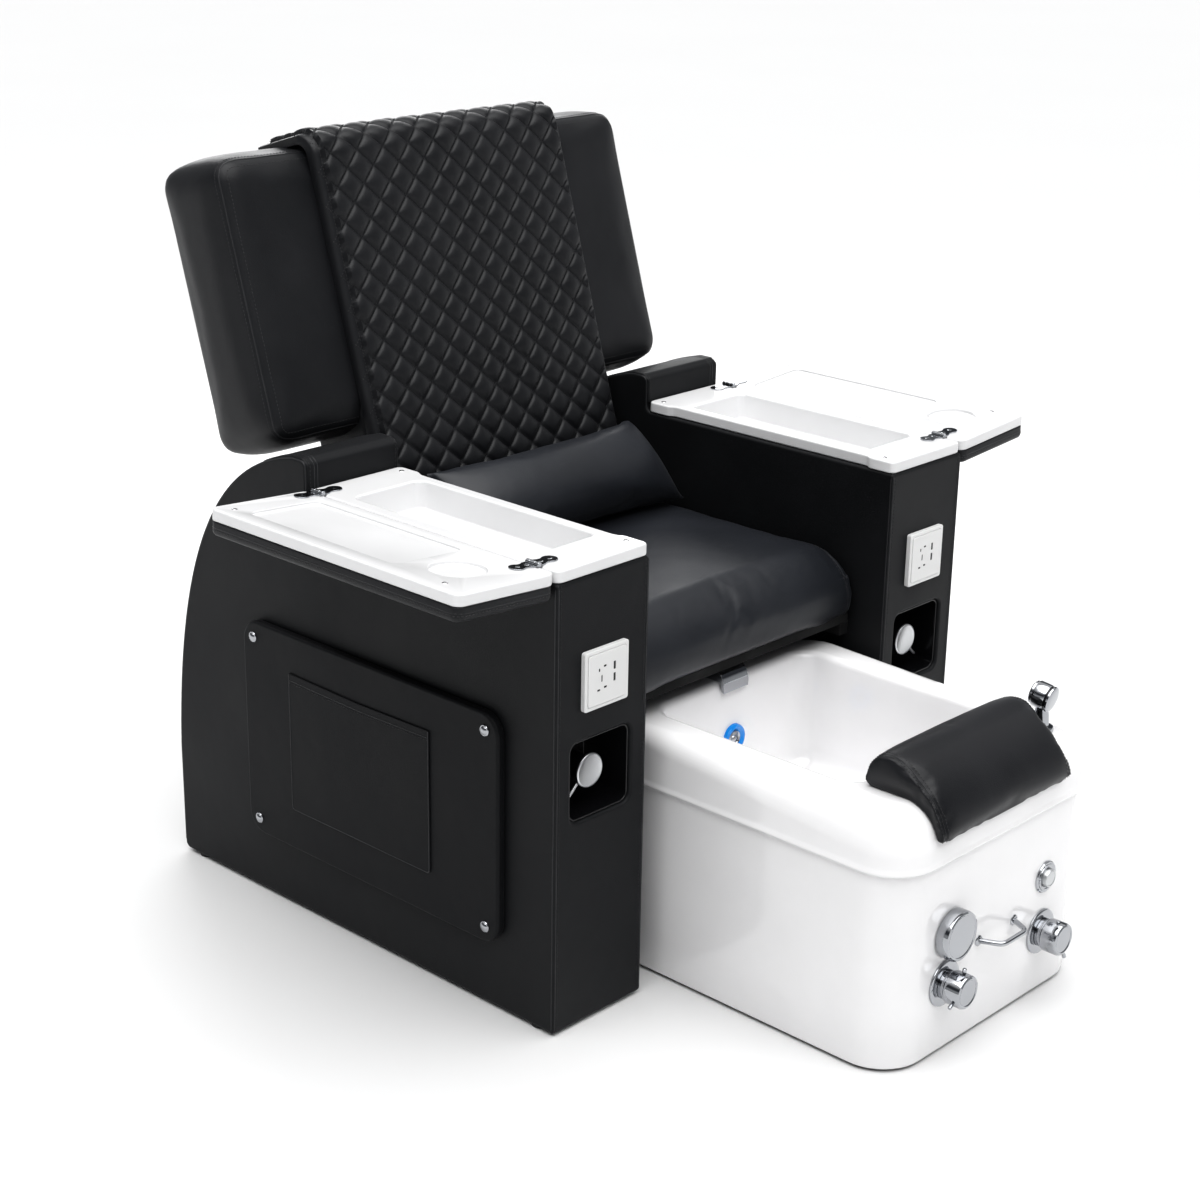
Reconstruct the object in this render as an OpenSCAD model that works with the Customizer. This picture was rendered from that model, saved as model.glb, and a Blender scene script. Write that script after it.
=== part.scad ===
// Pedicure spa chair: upholstered arms with flip-over tray lids, a reclining
// quilted back and a foot basin that rolls out from under the seat.
// Millimetres, +Z up. The sitter faces -Y. X = 0 is the middle of the chair,
// Z = 0 the floor, and Y = 0 the middle of the overall depth.

/* [Arms] */
// Width over both arms
chair_w = 914; // [880:1:940]
// Width of one arm
arm_w = 180; // [170:1:190]
// Depth of an arm at the floor
arm_d = 850; // [830:1:870]
// Height of an arm under its tray
arm_h = 677; // [670:1:685]
// Thickness of the padded boards of an arm
board_t = 16; // [12:1:20]
// Gap between the arms and the floor
floor_gap = 9; // [6:1:12]
// Height of the raised block behind the tray
block_h = 737; // [725:1:745]
// Front face of the raised block, from the front of the arms
block_y = 512; // [511:1:520]
// Width and height of the niche in the front of an arm
niche_w = 120; // [110:1:125]
// Height of the niche's middle
niche_z = 380; // [370:1:390]
// Width and height of the socket plate
socket_w = 86; // [80:1:90]
// Height of the socket plate's middle
socket_z = 527; // [515:1:540]

/* [Trays and lids] */
// Thickness of a tray
tray_t = 18; // [14:1:20]
// Length of a tray
tray_l = 508; // [500:1:510]
// Depth of the storage recess
recess_d = 40; // [30:1:45]
// Length of a lid, measured across the chair
lid_w = 177; // [170:1:178]
// Thickness of the lid's pad
lid_pad_t = 22; // [18:1:26]
// Upward tilt of an open lid
lid_tilt = 4; // [0:1:6]

/* [Seat] */
// Height of the seat cushion's crown
seat_h = 541; // [530:1:545]
// Underside of the seat cushion
seat_z = 437; // [435:1:442]
// Thickness of the seat deck board
deck_t = 15; // [12:1:15]

/* [Back] */
// Lean of the back at rest
back_tilt = 17; // [15:0.5:18]
// Width over the wings of the back
back_w = 864; // [850:1:880]
// Width of the back between the arms
back_core_w = 524; // [520:1:524]
// Thickness of the back
back_t = 150; // [145:1:152]
// Length of the back along its slope
back_l = 630; // [620:1:632]
// Start of the wings along the slope
wing_s = 188; // [186:1:200]
// Edge radius of the back
back_r = 22; // [16:1:26]
// Rise of the quilted pad over the back
quilt_t = 30; // [24:1:34]

/* [Basin] */
// Width of the basin's rim
basin_w = 490; // [480:1:492]
// Distance of the basin's middle from the chair's, to the right
basin_x = 20; // [10:1:24]
// Length of the basin
basin_l = 563; // [555:1:565]
// Front of the basin's rim, ahead of the arms
basin_out = 413; // [405:1:415]
// Height of the rim
basin_h = 388; // [380:1:390]
// Height of the groove between rim and skirt
groove_z = 302; // [295:1:305]
// Rounding of the rim's top edge at the front
rim_r = 60; // [50:1:64]
// Rounding of the rim's top edge at the rear
rim_back_r = 24; // [18:1:30]
// Height of the bowl's floor
bowl_z = 200; // [190:1:205]
// Thickness of the basin's walls
wall = 8; // [6:1:9]
// Reach of the valve knobs in front of the skirt
knob_reach = 43; // [40:1:46]

/* [Hidden] */
$fn = 48;
hull_fn = 32;

left = -1;
right = 1;
run = 0.05;               // radial clearance of a turning pin
arm_x1 = chair_w / 2;
arm_x0 = arm_x1 - arm_w;
arm_xm = (arm_x0 + arm_x1) / 2;
board_x0 = arm_x0 + board_t;
board_x1 = arm_x1 - board_t;

// Rear outline of an arm, as [depth, height]
rear_line = [[545, block_h], [690, 708], [832, 585], [arm_d, 190]];
rear_steps = 16;
block_share = 0.16;       // share of the rear outline that the block takes
block_end = cubic(rear_line, block_share)[0];

// Lid hinges
hinge_x = arm_x1;
leaf_t = 2;
leaf_gap = 0.2;
hinge_z = arm_h + tray_t + leaf_t + leaf_gap;
hinge_ys = [45, 484];
leaf_w = 24;
leaf_reach = 42;
barrel_r = 4;
hinge_pin_r = 1.5;
knuckle_w = 10;
lid_x0 = 1;
tray_x1 = arm_x1 - 1;

// Storage recess and cup recess
recess_x = [300, 435];
recess_y = [75, 437];
cup_r = 40;
cup_x = 96;
cup_y = 88;

// Panel on the outer side of an arm
panel_y = [96, 655];
panel_z = [111, 465];
panel_t = 15;
panel_inset = 26;
pocket_y = [234, 545];
pocket_z = [180, 405];
pocket_t = 3;

// Release knobs in the niches
niche_d = 90;
niche_wall = 3;
release_r = 6;

// Back, measured along its slope from the foot of its front face
back_foot = [548, 548];
core_inset = 26;
sin_t = sin(back_tilt);
cos_t = cos(back_tilt);
pivot = [560, 425];
pivot_r = 8;

// Gas spring between the rear beam and the back frame
spring_top = [653.3, 483.3];
spring_foot = [680, 110];
spring_pin_r = 6;
foot_lug_x = 13.5;        // inner faces of the lugs at its foot
spring_len = norm(spring_top - spring_foot);
spring_lean = atan2(spring_foot[0] - spring_top[0], spring_top[1] - spring_foot[1]);
loop_gap = 4;             // clearance of the rod's open eye
cross_tube = [600, 515];

// Basin
skirt_w = basin_w - 8;
skirt_front = -(basin_out - 4);
skirt_back = skirt_front + basin_l - 8;
corner_r = 70;
bowl_x = 176;
bowl_front = -280;
bowl_back = 92;
bowl_taper = 14;
bowl_wall = 6;
floor_flat_r = 5;
bowl_y = (bowl_front + bowl_back) / 2;
jet_z = 290;
jet_r = 24;
jet_y0 = bowl_back - 13;
jet_y1 = bowl_back + 22;
drain_y = -110;
drain_r = 20;
trap_z1 = bowl_z - 12;    // top of the trap
trap_z0 = trap_z1 - 34;   // its underside
pipe_z = trap_z0 + 14;    // waste pipe's middle
shower_at = [168, -350];
collar_r = 15;
stem_r = 12;
spindle_r = 5;
drain_knob_at = [-117, 188];
valve_left_at = [-124, 112];
valve_right_at = [117, 102];
button_at = [119, 189];
button_r = 14;
neck_r = 12;
valve_r = 20;
flange_r = 34.5;
flange_t = 5;
handle_x = 44;
handle_z = 147;
wheel_r = 20;
axle_r = 5;
axle_ys = [-340, 50];
skirt_z = 4;
base_z = 46;
base_t = 12;

// The chair's frame: the front of the arms lies at front_y
front_reach = -skirt_front + knob_reach;
rear_reach = back_foot[0] + (back_l - back_r) * sin_t + (back_t - back_r) * cos_t + back_r;
front_y = (front_reach - rear_reach) / 2;

// Point and direction of a cubic curve through four control points
function cubic(p, t) =
  pow(1 - t, 3) * p[0] + 3 * t * pow(1 - t, 2) * p[1]
  + 3 * t * t * (1 - t) * p[2] + pow(t, 3) * p[3];
function cubic_dir(p, t) =
  let (d = pow(1 - t, 2) * (p[1] - p[0]) + 2 * t * (1 - t) * (p[2] - p[1])
    + t * t * (p[3] - p[2]))
  d / norm(d);

// From 0 at the middle to 1 at the rim of a cushion, flat with a steep edge
function edge(u, power) = pow(abs(u), power);

// Depth and height of a point given along the back's slope and off its face
function on_slope(s, t) =
  [back_foot[0] + s * sin_t - t * cos_t, back_foot[1] + s * cos_t + t * sin_t];

// Moves a part from the arms' front plane into the chair's frame
module chair() translate([0, front_y, 0]) children();

// The same for a part of the basin, drawn about the basin's middle
module tub() chair() translate([basin_x, 0, 0]) children();

// The same for a part drawn for the right side, mirrored for the left
module chair_side(side) chair() mirror([side < 0 ? 1 : 0, 0, 0]) children();

// Extrudes a [depth, height] outline across the chair
module across(x0, x1) translate([x0, 0, 0]) rotate([90, 0, 90]) linear_extrude(x1 - x0) children();

// Extrudes an [x, height] outline along the depth
module along(y0, y1) translate([0, y1, 0]) rotate([90, 0, 0]) linear_extrude(y1 - y0) children();

// Cylinder along the depth at [x, height]
module rod_y(at, r, y0, y1) translate([at[0], y1, at[1]]) rotate([90, 0, 0]) cylinder(r = r, h = y1 - y0);

// Cylinder across the chair at [depth, height]
module rod_x(at, r, x0, x1) translate([x0, at[0], at[1]]) rotate([0, 90, 0]) cylinder(r = r, h = x1 - x0);

// Rounded rectangle, from corner a to corner b
module round_rect(a, b, r) {
  translate([a[0], a[1] + r]) square([b[0] - a[0], b[1] - a[1] - 2 * r]);
  translate([a[0] + r, a[1]]) square([b[0] - a[0] - 2 * r, b[1] - a[1]]);
  for (x = [a[0] + r, b[0] - r], y = [a[1] + r, b[1] - r]) translate([x, y]) circle(r);
}

// Box from corner a to corner b
module box(a, b) translate(a) cube(b - a);

// Closed cushion: a grid of points over a base that bends only along v.
// over(u, v) and under(side, v) give points for u, side and v from -1 to 1.
module draped(nu, nv, over, under) {
  row = nu + 1;
  low = row * (nv + 1);
  points = concat(
    [for (j = [0:nv], i = [0:nu]) over(2 * i / nu - 1, 2 * j / nv - 1)],
    [for (j = [0:nv], side = [-1, 1]) under(side, 2 * j / nv - 1)]
  );
  faces = [
    for (j = [0:nv - 1], i = [0:nu - 1]) let (a = j * row + i, b = a + 1, c = b + row, d = a + row)
      each (i + j) % 2 == 0 ? [[a, c, b], [a, d, c]] : [[a, d, b], [b, d, c]],
    for (j = [0:nv - 1]) let (a = low + 2 * j, b = a + 1, c = a + 3, d = a + 2)
      each [[a, b, c], [a, c, d]],
    for (j = [0:nv - 1]) let (a = low + 2 * j, b = j * row)
      each [[a, a + 2, b + row], [a, b + row, b]],
    for (j = [0:nv - 1]) let (a = low + 2 * j + 1, b = j * row + nu)
      each [[a, b + row, a + 2], [a, b, b + row]],
    for (i = [0:nu - 1]) [low, i, i + 1],
    [low, nu, low + 1],
    for (i = [0:nu - 1]) let (a = nv * row + i) [low + 2 * nv, a + 1, a],
    [low + 2 * nv, low + 2 * nv + 1, nv * row + nu]
  ];
  polyhedron(points, faces);
}

// Closed pillow: two grids that share one seam round the edge.
// front(u, v) and rear(u, v) give points for u and v from -1 to 1.
module pillow(nu, nv, front, rear) {
  row = nu + 1;
  inner = row * (nv + 1);
  function at(i, j) = j * row + i;
  function low(i, j) = (i == 0 || j == 0 || i == nu || j == nv)
    ? at(i, j) : inner + (j - 1) * (nu - 1) + i - 1;
  points = concat(
    [for (j = [0:nv], i = [0:nu]) front(2 * i / nu - 1, 2 * j / nv - 1)],
    [for (j = [1:nv - 1], i = [1:nu - 1]) rear(2 * i / nu - 1, 2 * j / nv - 1)]
  );
  // Each square is split from the pillow's corner towards its middle, so that
  // no triangle lies with all three points on the seam
  function split(a, b, c, d, to_middle) =
    to_middle ? [[a, c, b], [a, d, c]] : [[a, d, b], [b, d, c]];
  function turned(triangles) = [for (t = triangles) [t[2], t[1], t[0]]];
  faces = [
    for (j = [0:nv - 1], i = [0:nu - 1]) let (to_middle = (2 * i + 1 - nu) * (2 * j + 1 - nv) > 0)
      each concat(
        split(at(i, j), at(i + 1, j), at(i + 1, j + 1), at(i, j + 1), to_middle),
        turned(split(low(i, j), low(i + 1, j), low(i + 1, j + 1), low(i, j + 1), to_middle))
      )
  ];
  polyhedron(points, faces);
}

// ---- Arms ----

// Outer curve of an arm from a share of its rear outline down to the floor
function rear_curve(from) =
  [for (i = [0:rear_steps]) cubic(rear_line, from + (1 - from) * i / rear_steps)];

// The same curve drawn in by the boards' thickness
function rear_curve_in(from) =
  [for (i = [0:rear_steps]) let (t = from + (1 - from) * i / rear_steps, d = cubic_dir(rear_line, t))
    cubic(rear_line, t) + board_t * [d[1], -d[0]]];

module arm_outline() polygon(concat(
  [[0, floor_gap], [0, arm_h], [block_end, arm_h]],
  rear_curve(block_share),
  [[arm_d, floor_gap]]
));

module arm_outer(side) color("#1b1c1f") chair_side(side) across(board_x1, arm_x1) arm_outline();

module arm_inner(side) color("#1b1c1f") chair_side(side) across(arm_x0, board_x0) arm_outline();

module arm_front(side) color("#202124") chair_side(side) along(0, board_t) difference() {
  translate([board_x0, floor_gap]) square([board_x1 - board_x0, arm_h - floor_gap]);
  round_rect([arm_xm - niche_w / 2, niche_z - niche_w / 2], [arm_xm + niche_w / 2, niche_z + niche_w / 2], 15);
  translate([arm_xm - 33, socket_z - 33]) square(66);
}

// Curved rear board between the side boards, from the block down to the floor
module arm_rear(side) color("#1b1c1f") chair_side(side) across(board_x0, board_x1) intersection() {
  polygon(concat(
    rear_curve(block_share),
    [[arm_d, floor_gap], [arm_d - board_t, floor_gap]],
    [for (i = [rear_steps:-1:0]) rear_curve_in(block_share)[i]]
  ));
  translate([block_end, 0]) square([arm_d, block_h]);
}

module arm_block(side) color("#222327") chair_side(side) across(arm_x0, arm_x1) polygon(concat(
  [[block_y, arm_h]],
  [for (a = [180:-15:90]) [block_y + 12 + 12 * cos(a), block_h - 12 + 12 * sin(a)]],
  [for (i = [0:4]) cubic(rear_line, block_share * i / 4)],
  [[block_end, arm_h]]
));

module niche(side) color("#0d0d0f") chair_side(side) {
  low = [arm_xm - niche_w / 2, niche_z - niche_w / 2];
  high = [arm_xm + niche_w / 2, niche_z + niche_w / 2];
  in = [niche_wall, niche_wall];
  along(0, niche_d - niche_wall) difference() {
    round_rect(low, high, 15);
    round_rect(low + in, high - in, 15 - niche_wall);
  }
  along(niche_d - niche_wall, niche_d) difference() {
    round_rect(low, high, 15);
    translate([arm_xm, niche_z - 2]) circle(release_r + run);
  }
}

// Round-faced knob with a thin lever that points outward and down
module release_knob(side) color("silver") chair_side(side) {
  at = [arm_xm, niche_z - 2];
  rod_y(at, 25.5, 20, 26);
  rod_y(at, 18, 26, 60);
  rod_y(at, release_r, 60, niche_d + 8);
  translate([at[0], 29, at[1]]) rotate([0, 133, 0]) cylinder(r = 2.5, h = 54, $fn = 24);
}

module socket(side) color("white") chair_side(side) {
  half = socket_w / 2;
  difference() {
    along(-9, 0) round_rect([arm_xm - half, socket_z - half], [arm_xm + half, socket_z + half], 4);
    for (x = [-7, 7]) box([arm_xm + x - 1.5, -10, socket_z + 12], [arm_xm + x + 1.5, -3, socket_z + 20]);
    for (x = [-9, 9]) box([arm_xm + x - 1.5, -10, socket_z - 20], [arm_xm + x + 1.5, -3, socket_z - 12]);
    box([arm_xm - 1.5, -10, socket_z - 6], [arm_xm + 1.5, -3, socket_z + 3]);
    for (z = [-16, -2]) box([arm_xm - 32, -10, socket_z + z], [arm_xm - 20, -3, socket_z + z + 5]);
  }
  along(0, 45) translate([arm_xm - 32, socket_z - 32]) square(64);
}

module panel(side) color("#18191c") chair_side(side) {
  across(arm_x1, arm_x1 + panel_t)
    round_rect([panel_y[0], panel_z[0]], [panel_y[1], panel_z[1]], 35);
  across(arm_x1 + panel_t, arm_x1 + panel_t + pocket_t)
    round_rect([pocket_y[0], pocket_z[0]], [pocket_y[1], pocket_z[1]], 6);
}

module panel_buttons() color("silver") for (side = [left, right]) chair_side(side)
  for (y = [panel_y[0] + panel_inset, panel_y[1] - panel_inset],
    z = [panel_z[0] + panel_inset, panel_z[1] - panel_inset])
    translate([arm_x1 + panel_t, y, z]) rotate([0, 90, 0]) {
      cylinder(r = 8.5, h = 3);
      translate([0, 0, 3]) cylinder(r1 = 8.5, r2 = 5, h = 2.5);
    }

// Eight glides under the boards of both arms
module glides() color("#2a2a2c") chair()
  for (x = [-board_x1, -board_x0, board_x0, board_x1], y = [40, arm_d - 40])
    translate([x, y, 0]) cylinder(r = 13, h = floor_gap);

// ---- Trays, lids and hinges ----

module tray(side) color("white") chair_side(side) difference() {
  union() {
    translate([0, 0, arm_h]) linear_extrude(tray_t) round_rect([arm_x0, 0], [tray_x1, tray_l], 12);
    translate([0, 0, arm_h + tray_t - recess_d - 4]) linear_extrude(recess_d + 4 - tray_t)
      round_rect([recess_x[0] - 4, recess_y[0] - 4], [recess_x[1] + 4, recess_y[1] + 4], 20);
  }
  translate([0, 0, arm_h + tray_t - recess_d]) linear_extrude(recess_d + 1)
    round_rect([recess_x[0], recess_y[0]], [recess_x[1], recess_y[1]], 16);
  for (y = hinge_ys)
    box([hinge_x - barrel_r - 1.5, y - leaf_w / 2 - 1, arm_h + tray_t - 8],
      [hinge_x + 1, y + leaf_w / 2 + 1, arm_h + tray_t + 1]);
}

// Leaf that runs from the barrel to a round end, in the hinge's own frame
module leaf(slot_w, slot_x) difference() {
  union() {
    box([slot_x, -leaf_w / 2, -leaf_gap - leaf_t], [leaf_reach - leaf_w / 2, leaf_w / 2, -leaf_gap]);
    translate([leaf_reach - leaf_w / 2, 0, -leaf_gap - leaf_t]) cylinder(r = leaf_w / 2, h = leaf_t);
  }
  for (x = [14, 30]) translate([x, 0, -leaf_gap - leaf_t - 1]) cylinder(r = 2, h = leaf_t + 2);
  if (slot_w > 0) box([-1, -slot_w / 2, -9], [barrel_r + 1, slot_w / 2, 9]);
}

// Fixed leaves with the middle knuckle and the pin
module hinges_fixed() color("silver") for (side = [left, right]) chair_side(side)
  for (y = hinge_ys) translate([hinge_x, y, hinge_z]) {
    mirror([1, 0, 0]) leaf(0, barrel_r + 1);
    box([-barrel_r - 2, -knuckle_w / 2 + 0.2, -leaf_gap - leaf_t], [-1, knuckle_w / 2 - 0.2, -leaf_gap]);
    rod_y([0, 0], barrel_r, -knuckle_w / 2 + 0.2, knuckle_w / 2 - 0.2);
    rod_y([0, 0], hinge_pin_r, -leaf_w / 2, leaf_w / 2);
  }

// Places a lid's parts on the hinge line, tilted up as an open lid
module on_lid(side) chair_side(side) translate([hinge_x, 0, hinge_z]) rotate([0, -lid_tilt, 0]) children();

// Moving leaves with the two outer knuckles
module hinge_leaf(side) color("silver") on_lid(side)
  for (y = hinge_ys) translate([0, y, 0]) difference() {
    union() {
      leaf(0, barrel_r + 1);
      for (k = [-1, 1]) {
        low = k < 0 ? -leaf_w / 2 : knuckle_w / 2;
        high = k < 0 ? -knuckle_w / 2 : leaf_w / 2;
        box([1, low, -leaf_gap - leaf_t], [barrel_r + 2, high, -leaf_gap]);
        rod_y([0, 0], barrel_r, low, high);
      }
    }
    rod_y([0, 0], hinge_pin_r + run, -leaf_w / 2 - 1, leaf_w / 2 + 1);
  }

lid_z1 = -leaf_t - leaf_gap;
lid_z0 = lid_z1 - tray_t;

module lid_tray(side) color("white") on_lid(side) difference() {
  translate([0, 0, lid_z0]) linear_extrude(tray_t) round_rect([lid_x0, 0], [lid_x0 + lid_w, tray_l], 14);
  translate([cup_x, cup_y, lid_z1 - 6]) cylinder(r = cup_r, h = 7);
  translate([0, 0, lid_z1 - 4]) linear_extrude(5) round_rect([26, 150], [150, 455], 12);
  for (y = hinge_ys)
    box([-1, y - leaf_w / 2 - 1, lid_z1 - 8], [barrel_r + 1.5, y + leaf_w / 2 + 1, lid_z1 + 1]);
}

module lid_pad(side) color("#202226") on_lid(side) {
  draped(8, 14,
    function(u, v) [
      lid_x0 + lid_w / 2 + u * (lid_w / 2 - 1),
      tray_l / 2 - v * (tray_l / 2 - 1),
      lid_z0 - lid_pad_t + 4 * edge(u, 4) + 4 * edge(v, 8)
    ],
    function(side, v) [
      lid_x0 + lid_w / 2 + side * (lid_w / 2 - 1),
      tray_l / 2 - v * (tray_l / 2 - 1),
      lid_z0
    ]
  );
}

// ---- Seat ----

// Welded frame: two rails, a cross tube, and ears with the back's pivot pins
module seat_frame() color("#3a3b3e") chair() {
  for (side = [0, 1]) mirror([side, 0, 0]) {
    box([arm_x0 - 20, 70, 400], [arm_x0, 532, seat_z - deck_t]);
    box([arm_x0 - 6, 500, 385], [arm_x0, 600, seat_z - 1]);
    rod_x(pivot, pivot_r, back_core_w / 2 - 2, arm_x0 - 6);
  }
  box([-arm_x0 + 20, 480, 382], [arm_x0 - 20, 520, seat_z - deck_t]);
}

module seat_deck() color("#a98a62") chair()
  box([-arm_x0 + 7, 66, seat_z - deck_t], [arm_x0 - 7, 530, seat_z]);

// Depth and height along the seat cushion's middle, from front to rear
seat_nose = [[66, seat_z + 2], [48, 470], [52, seat_h - 2], [135, seat_h]];
seat_tail = [[480, seat_h - 2], [520, seat_h - 3], [535, 520], [535, seat_z + 8]];
function seat_line(w) =
  w < 0.45 ? cubic(seat_nose, w / 0.45)
  : w < 0.75 ? seat_nose[3] + (w - 0.45) / 0.3 * (seat_tail[0] - seat_nose[3])
  : cubic(seat_tail, (w - 0.75) / 0.25);

// Seat cushion with a full front roll, a crown and drawn-in sides
module seat_cushion() color("#24272c") chair() {
  half_w = arm_x0 - 3;
  draped(14, 20,
    function(u, v) let (p = seat_line((v + 1) / 2), rise = (p[1] - seat_z) / (seat_h - seat_z)) [
      half_w * u * (1 - 0.012 * edge(u, 6) * rise),
      p[0] + 9 * edge(u, 10) * (1 - v) / 2,
      p[1] - 15 * rise * edge(u, 8)
    ],
    function(side, v) let (p = seat_line((v + 1) / 2)) [half_w * side, min(max(p[0], 70), 532), seat_z]
  );
}

// Lumbar pillow: wider at the bottom, and leaning back against the quilted pad
module lumbar_pillow() {
  lean = 40;
  middle = [457, 613];
  half_h = 85;
  function seam(u, v) =
    let (y = v * (1 - 0.05 * (1 - edge(u, 2))), x = u * (1 - 0.03 * (1 - v * v)) * (250 - 16 * v))
    [x, middle[0] + y * half_h * sin(lean), middle[1] + y * half_h * cos(lean)];
  function swell(u, v) = pow(1 - edge(u, 4), 0.6) * pow(1 - v * v, 0.55);
  function off(u, v, depth) = seam(u, v) + swell(u, v) * depth * [0, -cos(lean), sin(lean)];
  color("#24272c") chair()
    pillow(18, 10, function(u, v) off(u, v, 56), function(u, v) off(u, v, -50));
}

// ---- Back ----

// Places a part on the back: Y runs up the slope and Z out of the front face
module on_back() chair() translate([0, back_foot[0], back_foot[1]]) rotate([90 - back_tilt, 0, 0]) children();

// Side plates on the pivot pins, a cross tube, and two lugs for the gas spring
module back_frame() color("#3a3b3e") chair() {
  half = back_core_w / 2;
  for (side = [0, 1]) mirror([side, 0, 0]) difference() {
    union() {
      rod_x(pivot, 22, half, half + 5);
      across(half, half + 5) polygon([
        pivot + [-21, 6], pivot + [21, -6],
        on_slope(20, -100), on_slope(150, -100), on_slope(150, -50), on_slope(20, -30)
      ]);
    }
    rod_x(pivot, pivot_r + run, half - 1, half + 6);
  }
  rod_x(cross_tube, 12.5, -half, half);
  for (x = [-17, 12]) {
    rod_x(spring_top, 12, x, x + 5);
    across(x, x + 5) polygon([
      cross_tube + [6, 10], cross_tube + [-6, -10], spring_top + [-6, -10], spring_top + [6, 10]
    ]);
  }
  rod_x(spring_top, spring_pin_r, -17, 17);
}

// Upholstered back: a core between the arms and wings over them
module back_shell() color("#1d1e21") on_back() {
  intersection() {
    translate([-back_w / 2, 0, 0]) rotate([90, 0, 90]) linear_extrude(back_w)
      round_rect([wing_s, -back_t], [back_l, 0], back_r);
    translate([0, 0, -back_t]) linear_extrude(back_t)
      round_rect([-back_w / 2, wing_s - back_r], [back_w / 2, back_l], back_r);
  }
  box([-back_core_w / 2, 0, core_inset - back_t], [back_core_w / 2, wing_s + 30, -core_inset]);
}

// Quilted pad over the front and the top of the back, sewn in diamonds
quilt_n = 20;
quilt_step = back_core_w / quilt_n;
quilt_rows = 23;
turn_rows = 3;
top_rows = 3;
all_rows = quilt_rows + turn_rows + top_rows;
quilt_s0 = 2;
turn_s = back_l - back_r;
quilt_row = (turn_s - quilt_s0) / quilt_rows;

// Slope distance, offset and outward direction along the pad's underside
function pad_line(j) =
  j <= quilt_rows ? [quilt_s0 + j * quilt_row, 0, 0, 1]
  : j <= quilt_rows + turn_rows
    ? let (a = 90 * (j - quilt_rows) / turn_rows)
      [turn_s + back_r * sin(a), back_r * (cos(a) - 1), sin(a), cos(a)]
    : [back_l, -back_r - 30 * (j - quilt_rows - turn_rows), 1, 0];

// Height of the pad over its underside: low on the stitches, high between
function pad_rise(i, j) =
  let (rim = i == 0 || i == quilt_n || j == 0 || j == all_rows, top = j > quilt_rows ? 0.8 : 1)
  rim ? 12 : quilt_t * top - ((i + j) % 2 == 0 ? 8 : 0);

module back_pad() {
  gap = 1;
  function place(i, j, h) = let (l = pad_line(j))
    [(i - quilt_n / 2) * quilt_step, l[0] + h * l[2], l[1] + h * l[3]];
  color("#1f2024") on_back() draped(quilt_n, all_rows,
    function(u, v) let (i = round((u + 1) / 2 * quilt_n), j = round((v + 1) / 2 * all_rows))
      place(i, j, pad_rise(i, j)),
    function(side, v) let (j = round((v + 1) / 2 * all_rows)) place((side + 1) / 2 * quilt_n, j, gap)
  );
}

// ---- Gas spring and rear beam ----

module rear_beam() color("#3a3b3e") chair() {
  box([-arm_x0, spring_foot[0] - 20, 40], [arm_x0, spring_foot[0] + 20, 80]);
  for (x = [-foot_lug_x - 5, foot_lug_x]) across(x, x + 5) {
    translate([spring_foot[0] - 14, 80]) square([28, spring_foot[1] - 80]);
    translate(spring_foot) circle(14);
  }
  rod_x(spring_foot, spring_pin_r, -foot_lug_x - 5, foot_lug_x + 5);
}

module rear_board() color("#1b1c1f") chair() box([-arm_x0, 822, 20], [arm_x0, 838, 420]);

// Places a part along the gas spring: Z runs from the foot pin to the top pin
module on_spring() chair() translate([0, spring_foot[0], spring_foot[1]]) rotate([spring_lean, 0, 0]) children();

// Eye at both ends of the spring, its bore left open
module spring_eye(z, r) rod_x([0, z], r, -10, 10);

module gas_tube() color("#17181a") on_spring() difference() {
  union() {
    spring_eye(0, 13);
    translate([0, 0, 8]) cylinder(r = 13, h = 232);
  }
  rod_x([0, 0], spring_pin_r + run, -11, 11);
  translate([0, 0, 26]) cylinder(r = 10, h = 208);
  translate([0, 0, 230]) cylinder(r = axle_r + run, h = 20);
}

module gas_rod() color("silver") on_spring() difference() {
  union() {
    translate([0, 0, 120]) cylinder(r = 9.9, h = 10);
    translate([0, 0, 125]) cylinder(r = axle_r, h = spring_len - 136);
    spring_eye(spring_len, 15);
  }
  rod_x([0, spring_len], spring_pin_r + loop_gap, -11, 11);
}

// ---- Basin ----

// Quarter-round corner of the rim
module rim_corner(r) rotate_extrude($fn = hull_fn) polygon(concat(
  [[0, 0], [corner_r, 0]],
  [for (a = [0:15:90]) [corner_r - r + r * cos(a), basin_h - groove_z - r + r * sin(a)]],
  [[0, basin_h - groove_z]]
));

// Tapered bowl shape, grown by an amount, open past the rim
module bowl_shape(grow, top) hull() {
  floor_r = 40 + grow;
  for (x = [-1, 1], y = [bowl_front, bowl_back]) {
    inward = y < bowl_y ? 1 : -1;
    translate([x * (bowl_x - 50), y + inward * 50, top - 1]) cylinder(r = 50 + grow, h = 1, $fn = hull_fn);
    translate([x * (bowl_x - bowl_taper - 40), y + inward * (bowl_taper + 40), bowl_z - grow]) {
      translate([0, 0, floor_r]) sphere(floor_r, $fn = 24);
      cylinder(r = floor_flat_r, h = 1, $fn = hull_fn);
    }
  }
}

// Top moulding of the basin, down to the groove over the skirt
module basin_rim() color("white") tub() difference() {
  hull() for (x = [-1, 1]) translate([x * (basin_w / 2 - corner_r), 0, groove_z]) {
    translate([0, corner_r - basin_out, 0]) rim_corner(rim_r);
    translate([0, basin_l - basin_out - corner_r, 0]) rim_corner(rim_back_r);
  }
  bowl_shape(0, basin_h + 2);
  translate([shower_at[0], shower_at[1], groove_z - 10]) cylinder(r = collar_r, h = 100);
  rod_y([0, jet_z], jet_r, jet_y0 - 24, jet_y1);
}

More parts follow.
